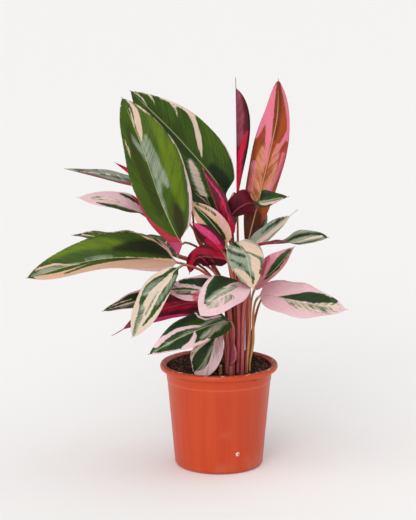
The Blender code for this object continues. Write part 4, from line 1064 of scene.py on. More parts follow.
@dataclass
class LeafPiece:
    """One finely built leaf, its markings painted as distances from the edges of the strokes.

    The sizes are in millimetres. thickness and edge are the blade's thickness in its middle and at
    its edge, rib_low and rib_groove the midrib's height below and depth above, and rib_spread how wide
    it is. ripple is the relief between side veins that stand ripple_step apart, with a finer one at
    fine_step. knee_swell, radius_high, radius_low and taper shape the stalk, foot is the length of it
    that has one thickness above the soil, and opens is the share of the blade over which it opens from
    the round stalk. lean is how far the side veins bend to the tip. reach is the largest distance that
    is kept for a stroke, grain_unit the length of one unit of the grain, and seed_step the shift of
    the grain from one leaf to the next. The rings stand closer before and after the shares close_rows,
    with row_counts of them in each stretch. The stalk's seam has the width seam_width and winds by
    seam_turn, and round_grain sets the grain round it.
    """

    leaf: Leaf
    look: Look
    seed: int
    half_count: int = 14
    crowding: float = 1.35
    thickness: float = 0.5
    edge: float = 0.26
    rib_low: float = 1.1
    rib_groove: float = 0.35
    rib_spread: float = 1.3
    ripple: float = 0.2
    ripple_step: float = 11.0
    fine_step: float = 4.7
    radius_high: float = 1.25
    radius_low: float = 2.5
    knee_swell: float = 0.5
    knee_length: float = 12.0
    knee_rings: int = 3
    stalk_rings: int = 16
    foot: float = 4.0
    taper: float = 0.7
    opens: float = 0.08
    tip_half: float = 0.35
    side_lag: float = 0.37
    sharpness: float = 1.45
    least_fall: float = 0.75
    lean: float = 0.012
    reach: float = 10.0
    stroke_steps: int = 14
    grain_unit: float = 100.0
    seed_step: float = 1.37
    close_rows: Point = (0.08, 0.94)
    row_counts: tuple[int, ...] = (9, 74, 12)
    seam_width: float = 2.2
    seam_turn: float = 0.03
    round_grain: float = 5.0

    def rows(self) -> Array:
        """Return the places of the blade's rings, from 0 at its base to 1 at its tip."""
        stops = (0.0, *self.close_rows, 1.0)
        parts = zip(stops, stops[1:], self.row_counts)
        return np.concatenate([*(np.linspace(low, high, count)[:-1] for low, high, count in parts), [1.0]])

    def columns(self) -> Array:
        """Return the places across the blade, from -1 to 1, closer together by the midrib."""
        half = np.linspace(0, 1, self.half_count + 1) ** self.crowding
        return np.concatenate([-half[:0:-1], half])

    def profile(self, t: Array) -> Array:
        """Return the share of the full half width at the places t.

        Args:
            t: places from 0 at the blade's base to 1 at its tip.

        Returns:
            The shares.
        """
        leaf = self.leaf
        length = np.sum(np.linalg.norm(np.diff(np.array(leaf.blade, dtype=float), axis=0), axis=1))
        t = np.minimum(t / (1 - leaf.drip / length), 1.0)
        fall = max(self.sharpness * (1 - leaf.widest), self.least_fall)
        rise = fall * leaf.widest / (1 - leaf.widest)
        top = leaf.widest ** rise * (1 - leaf.widest) ** fall
        return t ** rise * (1 - t) ** fall / top

    def half_width(self, t: Array, right: Array) -> Array:
        """Return the width of the right or the left half at the places t."""
        return self.leaf.width / 2 * by_side(right, self.leaf.halves) * self.profile(t)

    def faces(self, t: Array) -> Array:
        """Return the directions of the upper side at the places t.

        Args:
            t: places from 0 at the blade's base to 1 at its tip.

        Returns:
            The directions, one a row.
        """
        faces = unit_rows(np.array(self.leaf.face, dtype=float))
        place = t * (len(faces) - 1)
        index = np.minimum(place.astype(int), len(faces) - 2)
        share = smooth_share(place - index)[:, None]
        return faces[index] * (1 - share) + faces[index + 1] * share

    def across(self, t: Array, u: Array, length: float) -> tuple[Array, Array, Array, Array]:
        """Lay the blade's section out flat in the plane across the midrib.

        Args:
            t: the places along the blade, as a column.
            u: the places across the blade, as a row.
            length: the blade's length.

        Returns:
            The offset out, the offset up and the slope at each point, and the distance from the midrib.
        """
        leaf = self.leaf
        right = u > 0
        part = np.abs(u)
        fold = np.radians(by_side(right, leaf.fold))
        turn = np.radians(by_side(right, leaf.curl) * part)
        turn = np.where(np.abs(turn) < 1e-3, 1e-3, turn)
        away = (self.half_width(t, right) + self.tip_half) * part
        out = away / turn * (np.sin(fold + turn) - np.sin(fold))
        up = away / turn * (np.cos(fold) - np.cos(fold + turn))
        height, count, phase = leaf.wave
        calm = np.sin(np.pi * np.minimum(t * 1.05, 1.0)) ** 0.5
        sway = np.sin(2 * np.pi * (count * t + phase + self.side_lag * right))
        up = up + height * part ** 2 * calm * sway
        waves = 2 * np.pi * self.vein_place(t * length, away)
        relief = np.sin(waves / self.ripple_step) + 0.5 * np.sin(waves / self.fine_step + 1.3)
        up = up + self.ripple * relief * calm * np.sin(np.pi * part) ** 0.7
        return np.where(right, out, -out), up, np.where(right, 1, -1) * (fold + turn), away

    def vein_place(self, along: Array, away: Array) -> Array:
        """Return where the side vein through a point leaves the midrib."""
        return along - (away + self.lean * away ** 2)

    def paint(self, along: Array, across: Array) -> Array:
        """Paint the strokes as signed distances inside the edge of each layer.

        Args:
            along: how far each point lies from the blade's base.
            across: how far it lies from the midrib, to the right.

        Returns:
            One column for each layer over the green.
        """
        inside = np.full((*along.shape, len(Layer)), -self.reach)
        inside[..., self.look.ground.value] = self.reach
        length = along.max()
        for stroke in self.look.marks:
            path = np.array(stroke.path, dtype=float)
            last = len(path) - 1
            stops = np.linspace(0, last, last * self.stroke_steps + 1)
            t, u, width = (np.interp(stops, np.arange(last + 1), path[:, i]) for i in range(3))
            x, y = t * length, u * self.half_width(t, u > 0)
            shares = np.hypot(along[..., None] - x, across[..., None] - y) - width
            depth = np.minimum(-shares.min(axis=-1), stroke.depth)
            layer = stroke.layer.value
            inside[..., layer] = np.maximum(inside[..., layer], depth)
            for over in range(layer + 1, len(Layer)):
                inside[..., over] = np.minimum(inside[..., over], -depth)
        return np.clip(inside[..., 1:], -self.reach, self.reach)

    def rings(self) -> dict[str, Array]:
        """Build the rings of points with their values.

        Returns:
            The points, layer distances, places and grain of each ring from the foot of the stalk up,
            how far up the stalk its rings stand, and the number of them.
        """
        spine = Spine(self.leaf)
        length = spine.total - spine.blade_start
        t, u = self.rows()[:, None], self.columns()[None, :]
        points, along = spine.at(spine.blade_start + t[:, 0] * length)
        side = unit_rows(np.cross(along, self.faces(t[:, 0])))
        up = np.cross(side, along)
        out, rise, slope, away = self.across(t, u, length)
        signed = away * np.sign(u)
        thick = self.edge + (self.thickness - self.edge) * (1 - np.abs(u) ** 3)
        rib = np.exp(-(away / self.rib_spread) ** 2)
        above = thick / 2 - self.rib_groove * rib * (1 - t)
        below = thick / 2 + (self.rib_low * (1 - t) + 0.1) * rib

        def both(upper: Array, lower: Array) -> Array:
            """Return the upper side's row followed by the lower side's, which runs back."""
            return np.concatenate([upper, lower[:, ::-1]], axis=1)

        outs = both(out - np.sin(slope) * above, out + np.sin(slope) * below)
        rises = both(rise + np.cos(slope) * above, rise - np.cos(slope) * below)
        count = u.shape[1]
        turns = np.pi * (1 - (np.arange(count) + 0.5) / count)
        turns = np.concatenate([turns, -turns[::-1]])
        opened = smooth_share(t / self.opens)
        knee = self.radius_high + self.knee_swell
        outs = knee * np.cos(turns) * (1 - opened) + outs * opened
        rises = knee * np.sin(turns) * (1 - opened) + rises * opened
        blade = points[:, None] + side[:, None] * outs[..., None] + up[:, None] * rises[..., None]

        soil_length = spine.STALK_DEPTH + self.foot
        free = max(spine.blade_start - self.knee_length - soil_length, 1.0)
        knee_rows = self.knee_length * np.linspace(1, 0, self.knee_rings + 2)[1:-1]
        lengths = np.concatenate([[0.0], soil_length + free * np.linspace(0, 1, self.stalk_rings),
                                  spine.blade_start - knee_rows])
        lengths = lengths[lengths < spine.blade_start - 0.5]
        points, along = spine.at(lengths)
        first = side[0]
        sides = np.empty_like(points)
        for i in range(len(lengths) - 1, -1, -1):
            first = first - along[i] * np.dot(first, along[i])
            sides[i] = first = first / np.linalg.norm(first)
        ups = np.cross(sides, along)
        share = np.minimum((spine.blade_start - lengths) / (spine.blade_start - soil_length), 1.0)
        radius = self.radius_high + (self.radius_low - self.radius_high) * share ** self.taper
        into_knee = smooth_share((lengths - (spine.blade_start - self.knee_length)) / self.knee_length)
        radius = (radius + self.knee_swell * into_knee)[:, None, None]
        ring = np.cos(turns)[:, None] * sides[:, None] + np.sin(turns)[:, None] * ups[:, None]
        stalk = points[:, None] + radius * ring

        layers = self.paint(t * length + 0 * signed, signed)
        mirror = both(signed, signed)
        place = np.stack(np.broadcast_arrays(t, mirror, (1 - t) * length), axis=-1)
        shift = self.seed * self.seed_step
        grain = self.vein_place(t * length, np.abs(mirror)) / self.grain_unit + shift
        grain = np.stack([grain, mirror / self.grain_unit], axis=-1)
        stalk_layers = np.full((len(lengths), count * 2, len(Layer) - 1), -self.reach)
        seam = (np.abs(turns) - np.pi / 2) * self.seam_width
        to_blade = (spine.blade_start - lengths)[:, None]
        stalk_place = np.broadcast_arrays(0 * to_blade - 1, seam + to_blade * self.seam_turn, to_blade)
        stalk_grain = np.broadcast_arrays(turns * self.round_grain + shift,
                                          lengths[:, None] / self.grain_unit)
        return {"points": np.concatenate([stalk, blade]),
                "layers": np.concatenate([stalk_layers, both(layers, layers)]),
                "place": np.concatenate([np.stack(stalk_place, axis=-1), place]),
                "grain": np.concatenate([np.stack(stalk_grain, axis=-1), grain]),
                "climb": 1 - share, "stalk_rows": np.array(len(lengths))}

    def mesh(self, materials: dict[str, Material]) -> Mesh:
        """Join the rings into a closed mesh with its attributes, grain and materials.

        Args:
            materials: the leaf materials by name.

        Returns:
            The mesh, in metres.
        """
        made = self.rings()
        points = made["points"]
        rows, ring = points.shape[:2]
        stalk_rows = int(made["stalk_rows"])
        index = np.arange(rows * ring).reshape(rows, ring)
        quads = ring_faces(index)
        faces = quads.tolist() + [index[0, ::-1].tolist(), index[-1].tolist()]
        mesh = bpy.data.meshes.new(f"{self.leaf.name}_mesh")
        mesh.from_pydata((points.reshape(-1, 3) * MM).tolist(), [], faces)
        mesh.update()
        row, column = np.divmod(np.arange(len(quads)), ring)
        slots = np.where(row < stalk_rows - 1, 2, np.where((column < ring // 2 - 1), 0, 1))
        slots = np.concatenate([slots, [2, 0]])
        mesh.polygons.foreach_set("material_index", slots.astype(np.int32))
        for name in ("blade_upper", self.look.underside.value, "stalk_skin"):
            mesh.materials.append(materials[name])
        look = self.look
        mood = np.empty((rows, ring, 3))
        mood[:] = (look.olive, look.warmth, look.blush)
        mood[:stalk_rows, :, 0] = look.stalk
        mood[:stalk_rows, :, 1] = made["climb"][:, None]
        layers = made["layers"]
        values = {"tint_a": layers[..., :3], "tint_b": layers[..., 3:], "mood": mood,
                  "place": made["place"]}
        for name, data in values.items():
            attribute = mesh.attributes.new(name, "FLOAT_VECTOR", "POINT")
            attribute.data.foreach_set("vector", data.astype(np.float32).ravel())
        corners = np.empty(len(mesh.loops), dtype=np.int32)
        mesh.loops.foreach_get("vertex_index", corners)
        grain = made["grain"].reshape(-1, 2)[corners]
        mesh.uv_layers.new(name="grain").data.foreach_set("uv", grain.astype(np.float32).ravel())
        mesh.shade_smooth()
        return mesh

    def build(self, materials: dict[str, Material], slot: str) -> Piece:
        """Add the leaf to the scene and return it."""
        return add_piece(f"{self.leaf.name}_grown", outward(self.mesh(materials)), self.leaf.name)


class Tree(Graph):
    """A Geometry Nodes tree with named inputs, which ends in one material and plain geometry."""

    def __init__(self, name: str, inputs: dict[str, float | int]) -> None:
        """Make the tree with its inputs.

        Args:
            name: the tree's name.
            inputs: its number inputs by name, with their values.
        """
        super().__init__(bpy.data.node_groups.new(name, "GeometryNodeTree"))
        add = self.tree.interface.new_socket
        add("Geometry", in_out="INPUT", socket_type="NodeSocketGeometry")
        self.values: dict[str, float | int] = {}
        for title, value in inputs.items():
            kind = "NodeSocketInt" if isinstance(value, int) else "NodeSocketFloat"
            self.values[add(title, in_out="INPUT", socket_type=kind).identifier] = value
        add("Geometry", in_out="OUTPUT", socket_type="NodeSocketGeometry")
        self.given = self.node("NodeGroupInput").outputs

    def finish(self, geometry: Socket, material: Material) -> None:
        """End the tree in plain geometry with a material.

        Args:
            geometry: what the tree made.
            material: what it is made of.
        """
        real = self.out("GeometryNodeRealizeInstances", {0: geometry})
        dressed = self.out("GeometryNodeSetMaterial", {"Geometry": real, "Material": material})
        self.put(self.node("NodeGroupOutput").inputs[0], dressed)

    def run(self, start: Mesh) -> Mesh:
        """Run the tree on a mesh.

        Args:
            start: the mesh that the tree starts from, which is removed.

        Returns:
            The result as a plain mesh.
        """
        holder = place_object(f"{self.tree.name}_holder", start)
        modifier = holder.modifiers.new(self.tree.name, "NODES")
        modifier.node_group = self.tree
        for identifier, value in self.values.items():
            modifier[identifier] = value
        depsgraph = bpy.context.evaluated_depsgraph_get()
        made = bpy.data.meshes.new_from_object(holder.evaluated_get(depsgraph), depsgraph=depsgraph)
        holder.modifiers.remove(modifier)
        bpy.data.objects.remove(holder)
        bpy.data.meshes.remove(start)
        return made


def open_socket(sockets: Any, name: str | None = None) -> Socket:
    """Return the first socket in use, of the given name if there is one."""
    return next(socket for socket in sockets if socket.enabled and name in (None, socket.name))


@dataclass
class Pot:
    """The turned plastic pot, in millimetres.

    The capitals give places in its finish, in metres: the scuff, the height of the step, and the wall's
    inside, which has the radius WALL_FOOT at the ground and widens by WALL_LEAN.
    """

    SCUFF_PLACE = (0.0264, -0.0607, 0.030)
    STEP_PLACE = 0.1262
    WALL_FOOT = 0.0619
    WALL_LEAN = 0.0887

    rim_radius: float = 85.0
    rim_height: float = 150.0
    lip_depth: float = 9.0
    throat_radius: float = 76.0
    base_radius: float = 63.5
    base_round: float = 4.0
    hollow: float = 0.6
    hollow_radius: float = 28.0
    belly: float = 60.0
    step_height: float = 124.0
    step_depth: float = 0.6
    step_length: float = 1.5
    wall: float = 1.6
    floor: float = 2.4
    sides: int = 160
    drains: int = 6
    drain_radius: float = 5.0
    drain_circle: float = 44.0
    drain_bite: float = 12.0
    drain_sides: int = 28

    def on_wall(self, height: float, inset: float = 0.0) -> tuple[float, float]:
        """Return the point of the wall at a height below the lip, moved inwards by inset."""
        widening = (self.throat_radius - self.base_radius) / (self.rim_height - self.lip_depth)
        return self.base_radius + widening * height - inset, height

    def section(self) -> list[tuple[float, float]]:
        """Return the section as radius and height, from the middle of the underside round to inside."""
        rim, top, throat, base = self.rim_radius, self.rim_height, self.throat_radius, self.base_radius
        under, inner, edge = top - self.lip_depth, throat - self.wall, self.base_round
        outside = [(0, self.hollow), (self.hollow_radius, self.hollow), (self.hollow_radius + 2, 0),
                   (base - edge, 0), (base - edge * 0.3, edge * 0.3), self.on_wall(edge),
                   self.on_wall(self.belly), self.on_wall(self.step_height),
                   self.on_wall(self.step_height + self.step_length, -self.step_depth),
                   (throat + self.step_depth, under)]
        lip = [(rim - 2.0, under + 0.2), (rim - 0.4, under + 1.6), (rim, under + 4.5),
               (rim - 1.2, top - 1.2), (rim - 3.5, top), (rim - 6.5, top - 0.8)]
        inside = [(inner + 0.8, under + 4.5), (inner, under), self.on_wall(self.belly, self.wall),
                  self.on_wall(self.floor + 2, self.wall), (base - self.wall - 2, self.floor),
                  (0, self.floor)]
        return self.rounded(outside + lip + inside)

    def rounded(self, corners: list[tuple[float, float]], reach: float = 0.9) -> list[tuple[float, float]]:
        """Round the corners of a section.

        Args:
            corners: the section's corners.
            reach: how far from a corner its rounding starts.

        Returns:
            The section with four points in place of each inner corner.
        """
        points = np.array(corners, dtype=float)
        made = [tuple(points[0])]
        for before, corner, after in zip(points, points[1:], points[2:]):
            legs = [side - corner for side in (before, after)]
            spans = [float(np.linalg.norm(leg)) for leg in legs]
            start, end = (corner + leg / span * min(reach, span * 0.4) for leg, span in zip(legs, spans))
            for share in (0.0, 0.33, 0.67, 1.0):
                rest = 1 - share
                made.append(tuple(start * rest ** 2 + corner * 2 * share * rest + end * share ** 2))
        made.append(tuple(points[-1]))
        return made

    def tree(self, points: int, material: Material) -> Tree:
        """Build the nodes that turn a section round the pot's axis and bore its drain holes.

        Args:
            points: how many points the section has.
            material: the pot's material.

        Returns:
            The tree.
        """
        tree = Tree("pot_turning", {
            "Sides": self.sides, "Section Points": points, "Drains": self.drains,
            "Drain Radius": self.drain_radius * MM, "Drain Circle": self.drain_circle * MM,
            "Drain Depth": self.drain_bite * MM})
        given = tree.given
        rows = given["Section Points"]
        grid = tree.out("GeometryNodeMeshGrid", {
            "Vertices X": tree.math("ADD", given["Sides"], 1), "Vertices Y": rows})
        index = tree.out("GeometryNodeInputIndex")
        column = tree.math("FLOOR", tree.math("DIVIDE", index, rows))
        turn = tree.times(tree.math("DIVIDE", column, given["Sides"]), 2 * math.pi)
        spot = tree.node("GeometryNodeSampleIndex", {0: given["Geometry"]}, data_type="FLOAT_VECTOR",
                         domain="POINT")
        tree.put(open_socket(spot.inputs, "Value"), tree.out("GeometryNodeInputPosition"))
        tree.put(spot.inputs["Index"], tree.math("FLOORED_MODULO", index, rows))
        radius, _, height = tree.split(open_socket(spot.outputs))
        turned = tree.join(tree.times(radius, tree.math("COSINE", turn)),
                           tree.times(radius, tree.math("SINE", turn)), height)
        lathe = tree.out("GeometryNodeSetPosition", {"Geometry": grid, "Position": turned})
        closed = tree.out("GeometryNodeMergeByDistance", {"Geometry": lathe, "Distance": 0.01 * MM})
        circle = tree.out("GeometryNodeMeshCircle",
                          {"Vertices": given["Drains"], "Radius": given["Drain Circle"]})
        bit = tree.out("GeometryNodeMeshCylinder", {
            "Vertices": self.drain_sides, "Radius": given["Drain Radius"], "Depth": given["Drain Depth"]})
        bits = tree.out("GeometryNodeInstanceOnPoints", {"Points": circle, "Instance": bit})
        bits = tree.out("GeometryNodeTransform", {"Geometry": bits, "Rotation": (0, 0, math.pi / 6)})
        bits = tree.out("GeometryNodeRealizeInstances", {0: bits})
        bored = tree.out("GeometryNodeMeshBoolean", {0: closed, 1: bits}, operation="DIFFERENCE",
                         solver="EXACT")
        tree.finish(bored, material)
        return tree

    def plastic(self) -> Material:
        """Build the terracotta plastic, with a painted highlight along its step, painted shade on the upper
        inner wall and the rim top, a scuff on its side, and pale streaks along its rim that stand for a
        painted highlight.
        """
        skin = Skin("pot_plastic")
        place = skin.here()
        x, y, z = skin.split(place)
        turn = skin.math("ARCTAN2", x, skin.times(y, -1.0))
        flow = skin.noise(skin.join(skin.times(turn, 5.0), skin.times(z, 3.0)), 1.0, 3.0)
        cloud = skin.noise(place, 26.0, 4.0, 0.6)
        fine = skin.noise(place, 900.0)
        colour = skin.coats(
            linear("BE3A0C"), ("CA4A18", flow, 0.35, 0.65, 0.5), ("CC4412", z, 0.11, 0.128, 0.45),
            ("DD8A68", cloud, 0.55, 0.8, 0.14), ("9A3216", cloud, 0.42, 0.2, 0.2))
        foot = skin.times(skin.ramp(z, 0.03, 0.0), skin.ramp(cloud, 0.3, 0.7))
        colour = skin.blend(skin.times(foot, 0.12), colour, linear("C9A08A"))
        off_step = skin.math("ABSOLUTE", skin.math("SUBTRACT", z, self.STEP_PLACE))
        # Streaks for the pale rim highlight.
        scuff = skin.noise(skin.vector("MULTIPLY", place, (120.0, 120.0, 900.0)), 1.0, 3.0)
        away = skin.node("ShaderNodeVectorMath", {0: place, 1: self.SCUFF_PLACE},
                         operation="DISTANCE").outputs["Value"]
        torn = skin.noise(place, 420.0, 3.0, 0.7)
        spot = skin.times(skin.ramp(skin.math("MULTIPLY_ADD", torn, 0.006, away), 0.0070, 0.0056),
                          skin.ramp(torn, 0.45, 0.52))
        # Pale streaks along the rim top, a painted highlight.
        rim = skin.times(skin.ramp(z, 0.1478, 0.1496), skin.ramp(scuff, 0.56, 0.66, 0.0, 0.6))
        scuff_and_rim_highlight = skin.math("MAXIMUM", spot, rim)
        # The pale line along the step is a painted highlight.
        colour = skin.coats(colour, ("F0A57F", off_step, 0.0022, 0.0004, 0.1),
                            # Painted shade: the darker band over the rim top tones down its lamp-lit top.
                            ("963010", z, 0.1474, 0.149, 0.75))
        # Lays the pale scuff and the painted rim highlight over the plastic.
        colour = skin.blend(scuff_and_rim_highlight, colour, linear("F1D9CB"))
        radius = skin.math("SQRT", skin.math("ADD", skin.times(x, x), skin.times(y, y)))
        wall = skin.math("MULTIPLY_ADD", z, self.WALL_LEAN, self.WALL_FOOT)
        past_wall = skin.math("SUBTRACT", radius, wall)
        # Painted shade on the upper inside of the wall, above the soil.
        inner_wall_shade = skin.times(skin.ramp(past_wall, 0.0014, 0.0008), skin.ramp(cloud, 0.2, 0.6, 0.7, 0.96))
        colour = skin.blend(skin.times(inner_wall_shade, skin.ramp(z, 0.12, 0.138)), colour, linear("331810"))
        rough = skin.math("ADD", skin.math("MULTIPLY_ADD", cloud, 0.22, 0.26), skin.times(scuff_and_rim_highlight, 0.25))
        height = skin.math("ADD", skin.times(fine, 0.4), skin.times(flow, 1.5))
        skin.dress(colour, rough, 0.4, height, 0.25, 0.25)
        skin.fill(skin.shader, {"Subsurface Weight": 0.08, "Subsurface Radius": (0.004, 0.0015, 0.0008)})
        return skin.material

    def build(self) -> Piece:
        """Turn the pot and return it."""
        section = self.section()
        start = bpy.data.meshes.new("pot_section")
        start.from_pydata([(radius * MM, 0, height * MM) for radius, height in section],
                          [(i, i + 1) for i in range(len(section) - 1)], [])
        mesh = outward(self.tree(len(section), self.plastic()).run(start))
        mesh.shade_smooth()
        mesh.set_sharp_from_angle(angle=math.radians(48))
        return add_piece("pot_turned", mesh, "pot")


@dataclass
class Soil:
    """The potting soil: a lumpy bed with crumbs and fibres scattered over it, in millimetres.

    What lies loose is strewn where the bed is over TOP_HEIGHT, in metres, and faces up by TOP_FACING.
    """

    TOP_HEIGHT = 0.12
    TOP_FACING = 0.3
    FULL_TURN = 6.28

    level: float = 141.0
    slope: float = 3.5
    rough: float = 1.3
    rim: float = 74.1
    bottom: float = 2.7
    bottom_radius: float = 59.6
    heap: Point = (44.0, 34.0, 3.5, 24.0)
    bank: float = 3.2
    rings: int = 46
    sides: int = 120
    crumbs: int = 4200
    crumb_low: float = 0.5
    crumb_high: float = 2.1
    crumb_wobble: float = 1.4
    fibres: int = 200
    fibre: Path = ((-4.0, 0.0, 0.0), (0.0, 2.2, 1.5), (4.5, 0.6, 0.4))
    fibre_radius: float = 0.22
    fibre_lift: float = 1.1
    seed: int = 11

    def height(self, x: Array, y: Array) -> Array:
        """Return the height of the surface at some places.

        Args:
            x: how far right the places are.
            y: how far back they are.

        Returns:
            The heights.
        """
        lumps = np.sin(x / 9 + 1) * np.cos(y / 7) + 0.6 * np.sin(x / 4.3 - y / 5.1)
        lumps = lumps + 0.35 * np.sin(x / 2.1 + y / 2.7) + 0.3 * np.cos(x / 1.6 - y / 1.9 + 2)
        hx, hy, lift, spread = self.heap
        heap = lift * np.exp(-((x - hx) ** 2 + (y - hy) ** 2) / spread ** 2)
        bank = self.bank * np.clip(y / 62, 0, 1) ** 1.5
        return self.level + self.slope * y / 76.0 + self.rough * lumps + heap + bank

    def bed(self, material: Material) -> Mesh:
        """Build the closed body of the soil.

        Args:
            material: the soil's material.

        Returns:
            The body as a mesh.
        """
        turns = np.linspace(0, 2 * np.pi, self.sides, endpoint=False)
        rings = [(self.bottom_radius, self.bottom), (self.rim - 12.5, 4.5), (self.rim, None)]
        shares = np.linspace(1, 0, self.rings, endpoint=False)
        rings += [(radius, 0.0) for radius in (self.rim - 0.4) * shares]
        points = [(0.0, 0.0, self.bottom)]
        for number, (radius, height) in enumerate(rings):
            x, y = radius * np.cos(turns), radius * np.sin(turns)
            drop = 2.5 if height is None else 0.0
            z = np.full(self.sides, height) if number < 2 else self.height(x, y) - drop
            points += np.stack([x, y, z], axis=1).tolist()
        points.append((0.0, 0.0, float(self.height(np.array(0.0), np.array(0.0)))))
        return closed_mesh("soil_bed", points, self.sides, material)

    def scatter(self, material: Material) -> Tree:
        """Build the nodes that scatter crumbs and fibres over the top of the bed.

        Args:
            material: the soil's material.

        Returns:
            The tree.
        """
        tree = Tree("soil_scatter", {
            "Crumbs": self.crumbs, "Crumb Low": self.crumb_low * MM, "Crumb High": self.crumb_high * MM,
            "Fibres": self.fibres, "Seed": self.seed})
        given = tree.given
        place = tree.out("GeometryNodeInputPosition")
        facing = tree.out("GeometryNodeInputNormal")
        high, top = (tree.out("FunctionNodeCompare", {0: tree.split(vector)[2], 1: least},
                              operation="GREATER_THAN")
                     for vector, least in ((place, self.TOP_HEIGHT), (facing, self.TOP_FACING)))
        both = tree.out("FunctionNodeBooleanMath", {0: high, 1: top}, operation="AND")
        area = math.pi * (self.rim * MM) ** 2

        def seed(shift: int) -> Socket:
            """Return the seed moved on by shift."""
            return tree.math("ADD", given["Seed"], shift)

        def random(low: Any, high_end: Any, shift: int) -> Socket:
            """Return a random number or vector for each point.

            Args:
                low: the lowest value.
                high_end: the highest value.
                shift: what is added to the seed.

            Returns:
                The output with the values.
            """
            kind = "FLOAT_VECTOR" if isinstance(low, tuple) else "FLOAT"
            made = tree.node("FunctionNodeRandomValue", {"Seed": seed(shift)}, data_type=kind)
            for title, value in (("Min", low), ("Max", high_end)):
                tree.put(open_socket(made.inputs, title), value)
            return open_socket(made.outputs)

        def strewn(count: Socket, thing: Socket, turn: Socket, scale: Socket, shift: int) -> Socket:
            """Return copies of a thing strewn over the top.

            Args:
                count: how many there are.
                thing: the geometry to copy.
                turn: the turn of each copy.
                scale: the scale of each copy.
                shift: what is added to the seed.

            Returns:
                The copies as instances.
            """
            points = tree.out("GeometryNodeDistributePointsOnFaces", {
                "Mesh": given["Geometry"], "Selection": both, "Density": tree.math("DIVIDE", count, area),
                "Seed": seed(shift)}, distribute_method="RANDOM")
            return tree.out("GeometryNodeInstanceOnPoints", {
                "Points": points, "Instance": thing, "Rotation": turn, "Scale": scale})

        crumb = tree.out("GeometryNodeMeshIcoSphere", {"Radius": 1.0, "Subdivisions": 1})
        size = tree.math("POWER", random(0.0, 1.0, 1), 3.0)
        spread = tree.math("SUBTRACT", given["Crumb High"], given["Crumb Low"])
        size = tree.math("MULTIPLY_ADD", size, spread, given["Crumb Low"])
        stretch = random((0.6, 0.6, 0.45), (1.3, 1.1, 0.9), 2)
        scale = tree.out("ShaderNodeVectorMath", {0: stretch, "Scale": size}, operation="SCALE")
        turn = random((0.0, 0.0, 0.0), (self.FULL_TURN,) * 3, 3)
        crumbs = strewn(given["Crumbs"], crumb, turn, scale, 0)
        crumbs = tree.out("GeometryNodeRealizeInstances", {0: crumbs})
        wobble = tree.node("ShaderNodeTexNoise", {"Vector": place, "Scale": 700.0, "Detail": 1.0})
        wobble = tree.vector("SUBTRACT", wobble.outputs["Color"], (0.5, 0.5, 0.5))
        wobble = tree.vector("MULTIPLY", wobble, (self.crumb_wobble * MM,) * 3)
        crumbs = tree.out("GeometryNodeSetPosition", {"Geometry": crumbs, "Offset": wobble})
        start, middle, end = (tuple(value * MM for value in point) for point in self.fibre)
        thread = tree.out("GeometryNodeCurveQuadraticBezier", {
            "Resolution": 5, "Start": start, "Middle": middle, "End": end})
        round_rim = tree.out("GeometryNodeCurvePrimitiveCircle", {
            "Resolution": 4, "Radius": self.fibre_radius * MM})
        thread = tree.out("GeometryNodeCurveToMesh", {
            "Curve": thread, "Profile Curve": round_rim, "Fill Caps": True})
        lie = random((-0.3, -0.3, 0.0), (0.3, 0.3, self.FULL_TURN), 5)
        long = random((0.5, 0.5, 0.8), (1.5, 1.5, 1.3), 6)
        fibres = tree.out("GeometryNodeTransform", {
            "Geometry": strewn(given["Fibres"], thread, lie, long, 9),
            "Translation": (0, 0, self.fibre_lift * MM)})
        joined = tree.node("GeometryNodeJoinGeometry")
        for part in (fibres, crumbs):
            tree.put(joined.inputs[0], part)
        tree.finish(joined.outputs[0], material)
        return tree

    def earth(self) -> Material:
        """Build the dark, crumbly earth with a few pale bits."""
        skin = Skin("potting_soil_dark")
        place = skin.here()
        lumps = skin.noise(place, 260.0, 3.0, 0.6)
        grains = skin.node("ShaderNodeTexVoronoi", {"Vector": place, "Scale": 420.0})
        shade = skin.split(grains.outputs["Color"])[0]
        colour = skin.coats(skin.blend(lumps, linear("1A110D"), linear("3A271C")),
                            ("755338", shade, 0.78, 0.9, 0.75), ("A08C74", shade, 0.06, 0.03, 0.5))
        skin.dress(colour, skin.ramp(lumps, 0.3, 0.7, 0.8, 0.98), 0.25, lumps, 0.6, 0.5)
        return skin.material

    def build(self) -> list[Piece]:
        """Build the bed and what lies on it, and return both."""
        earth = self.earth()
        bed = self.bed(earth)
        loose = self.scatter(earth).run(bed.copy())
        bed_piece = add_piece("soil_bed", bed, "soil")
        return [bed_piece, add_piece("soil_crumbs", loose, "soil")]


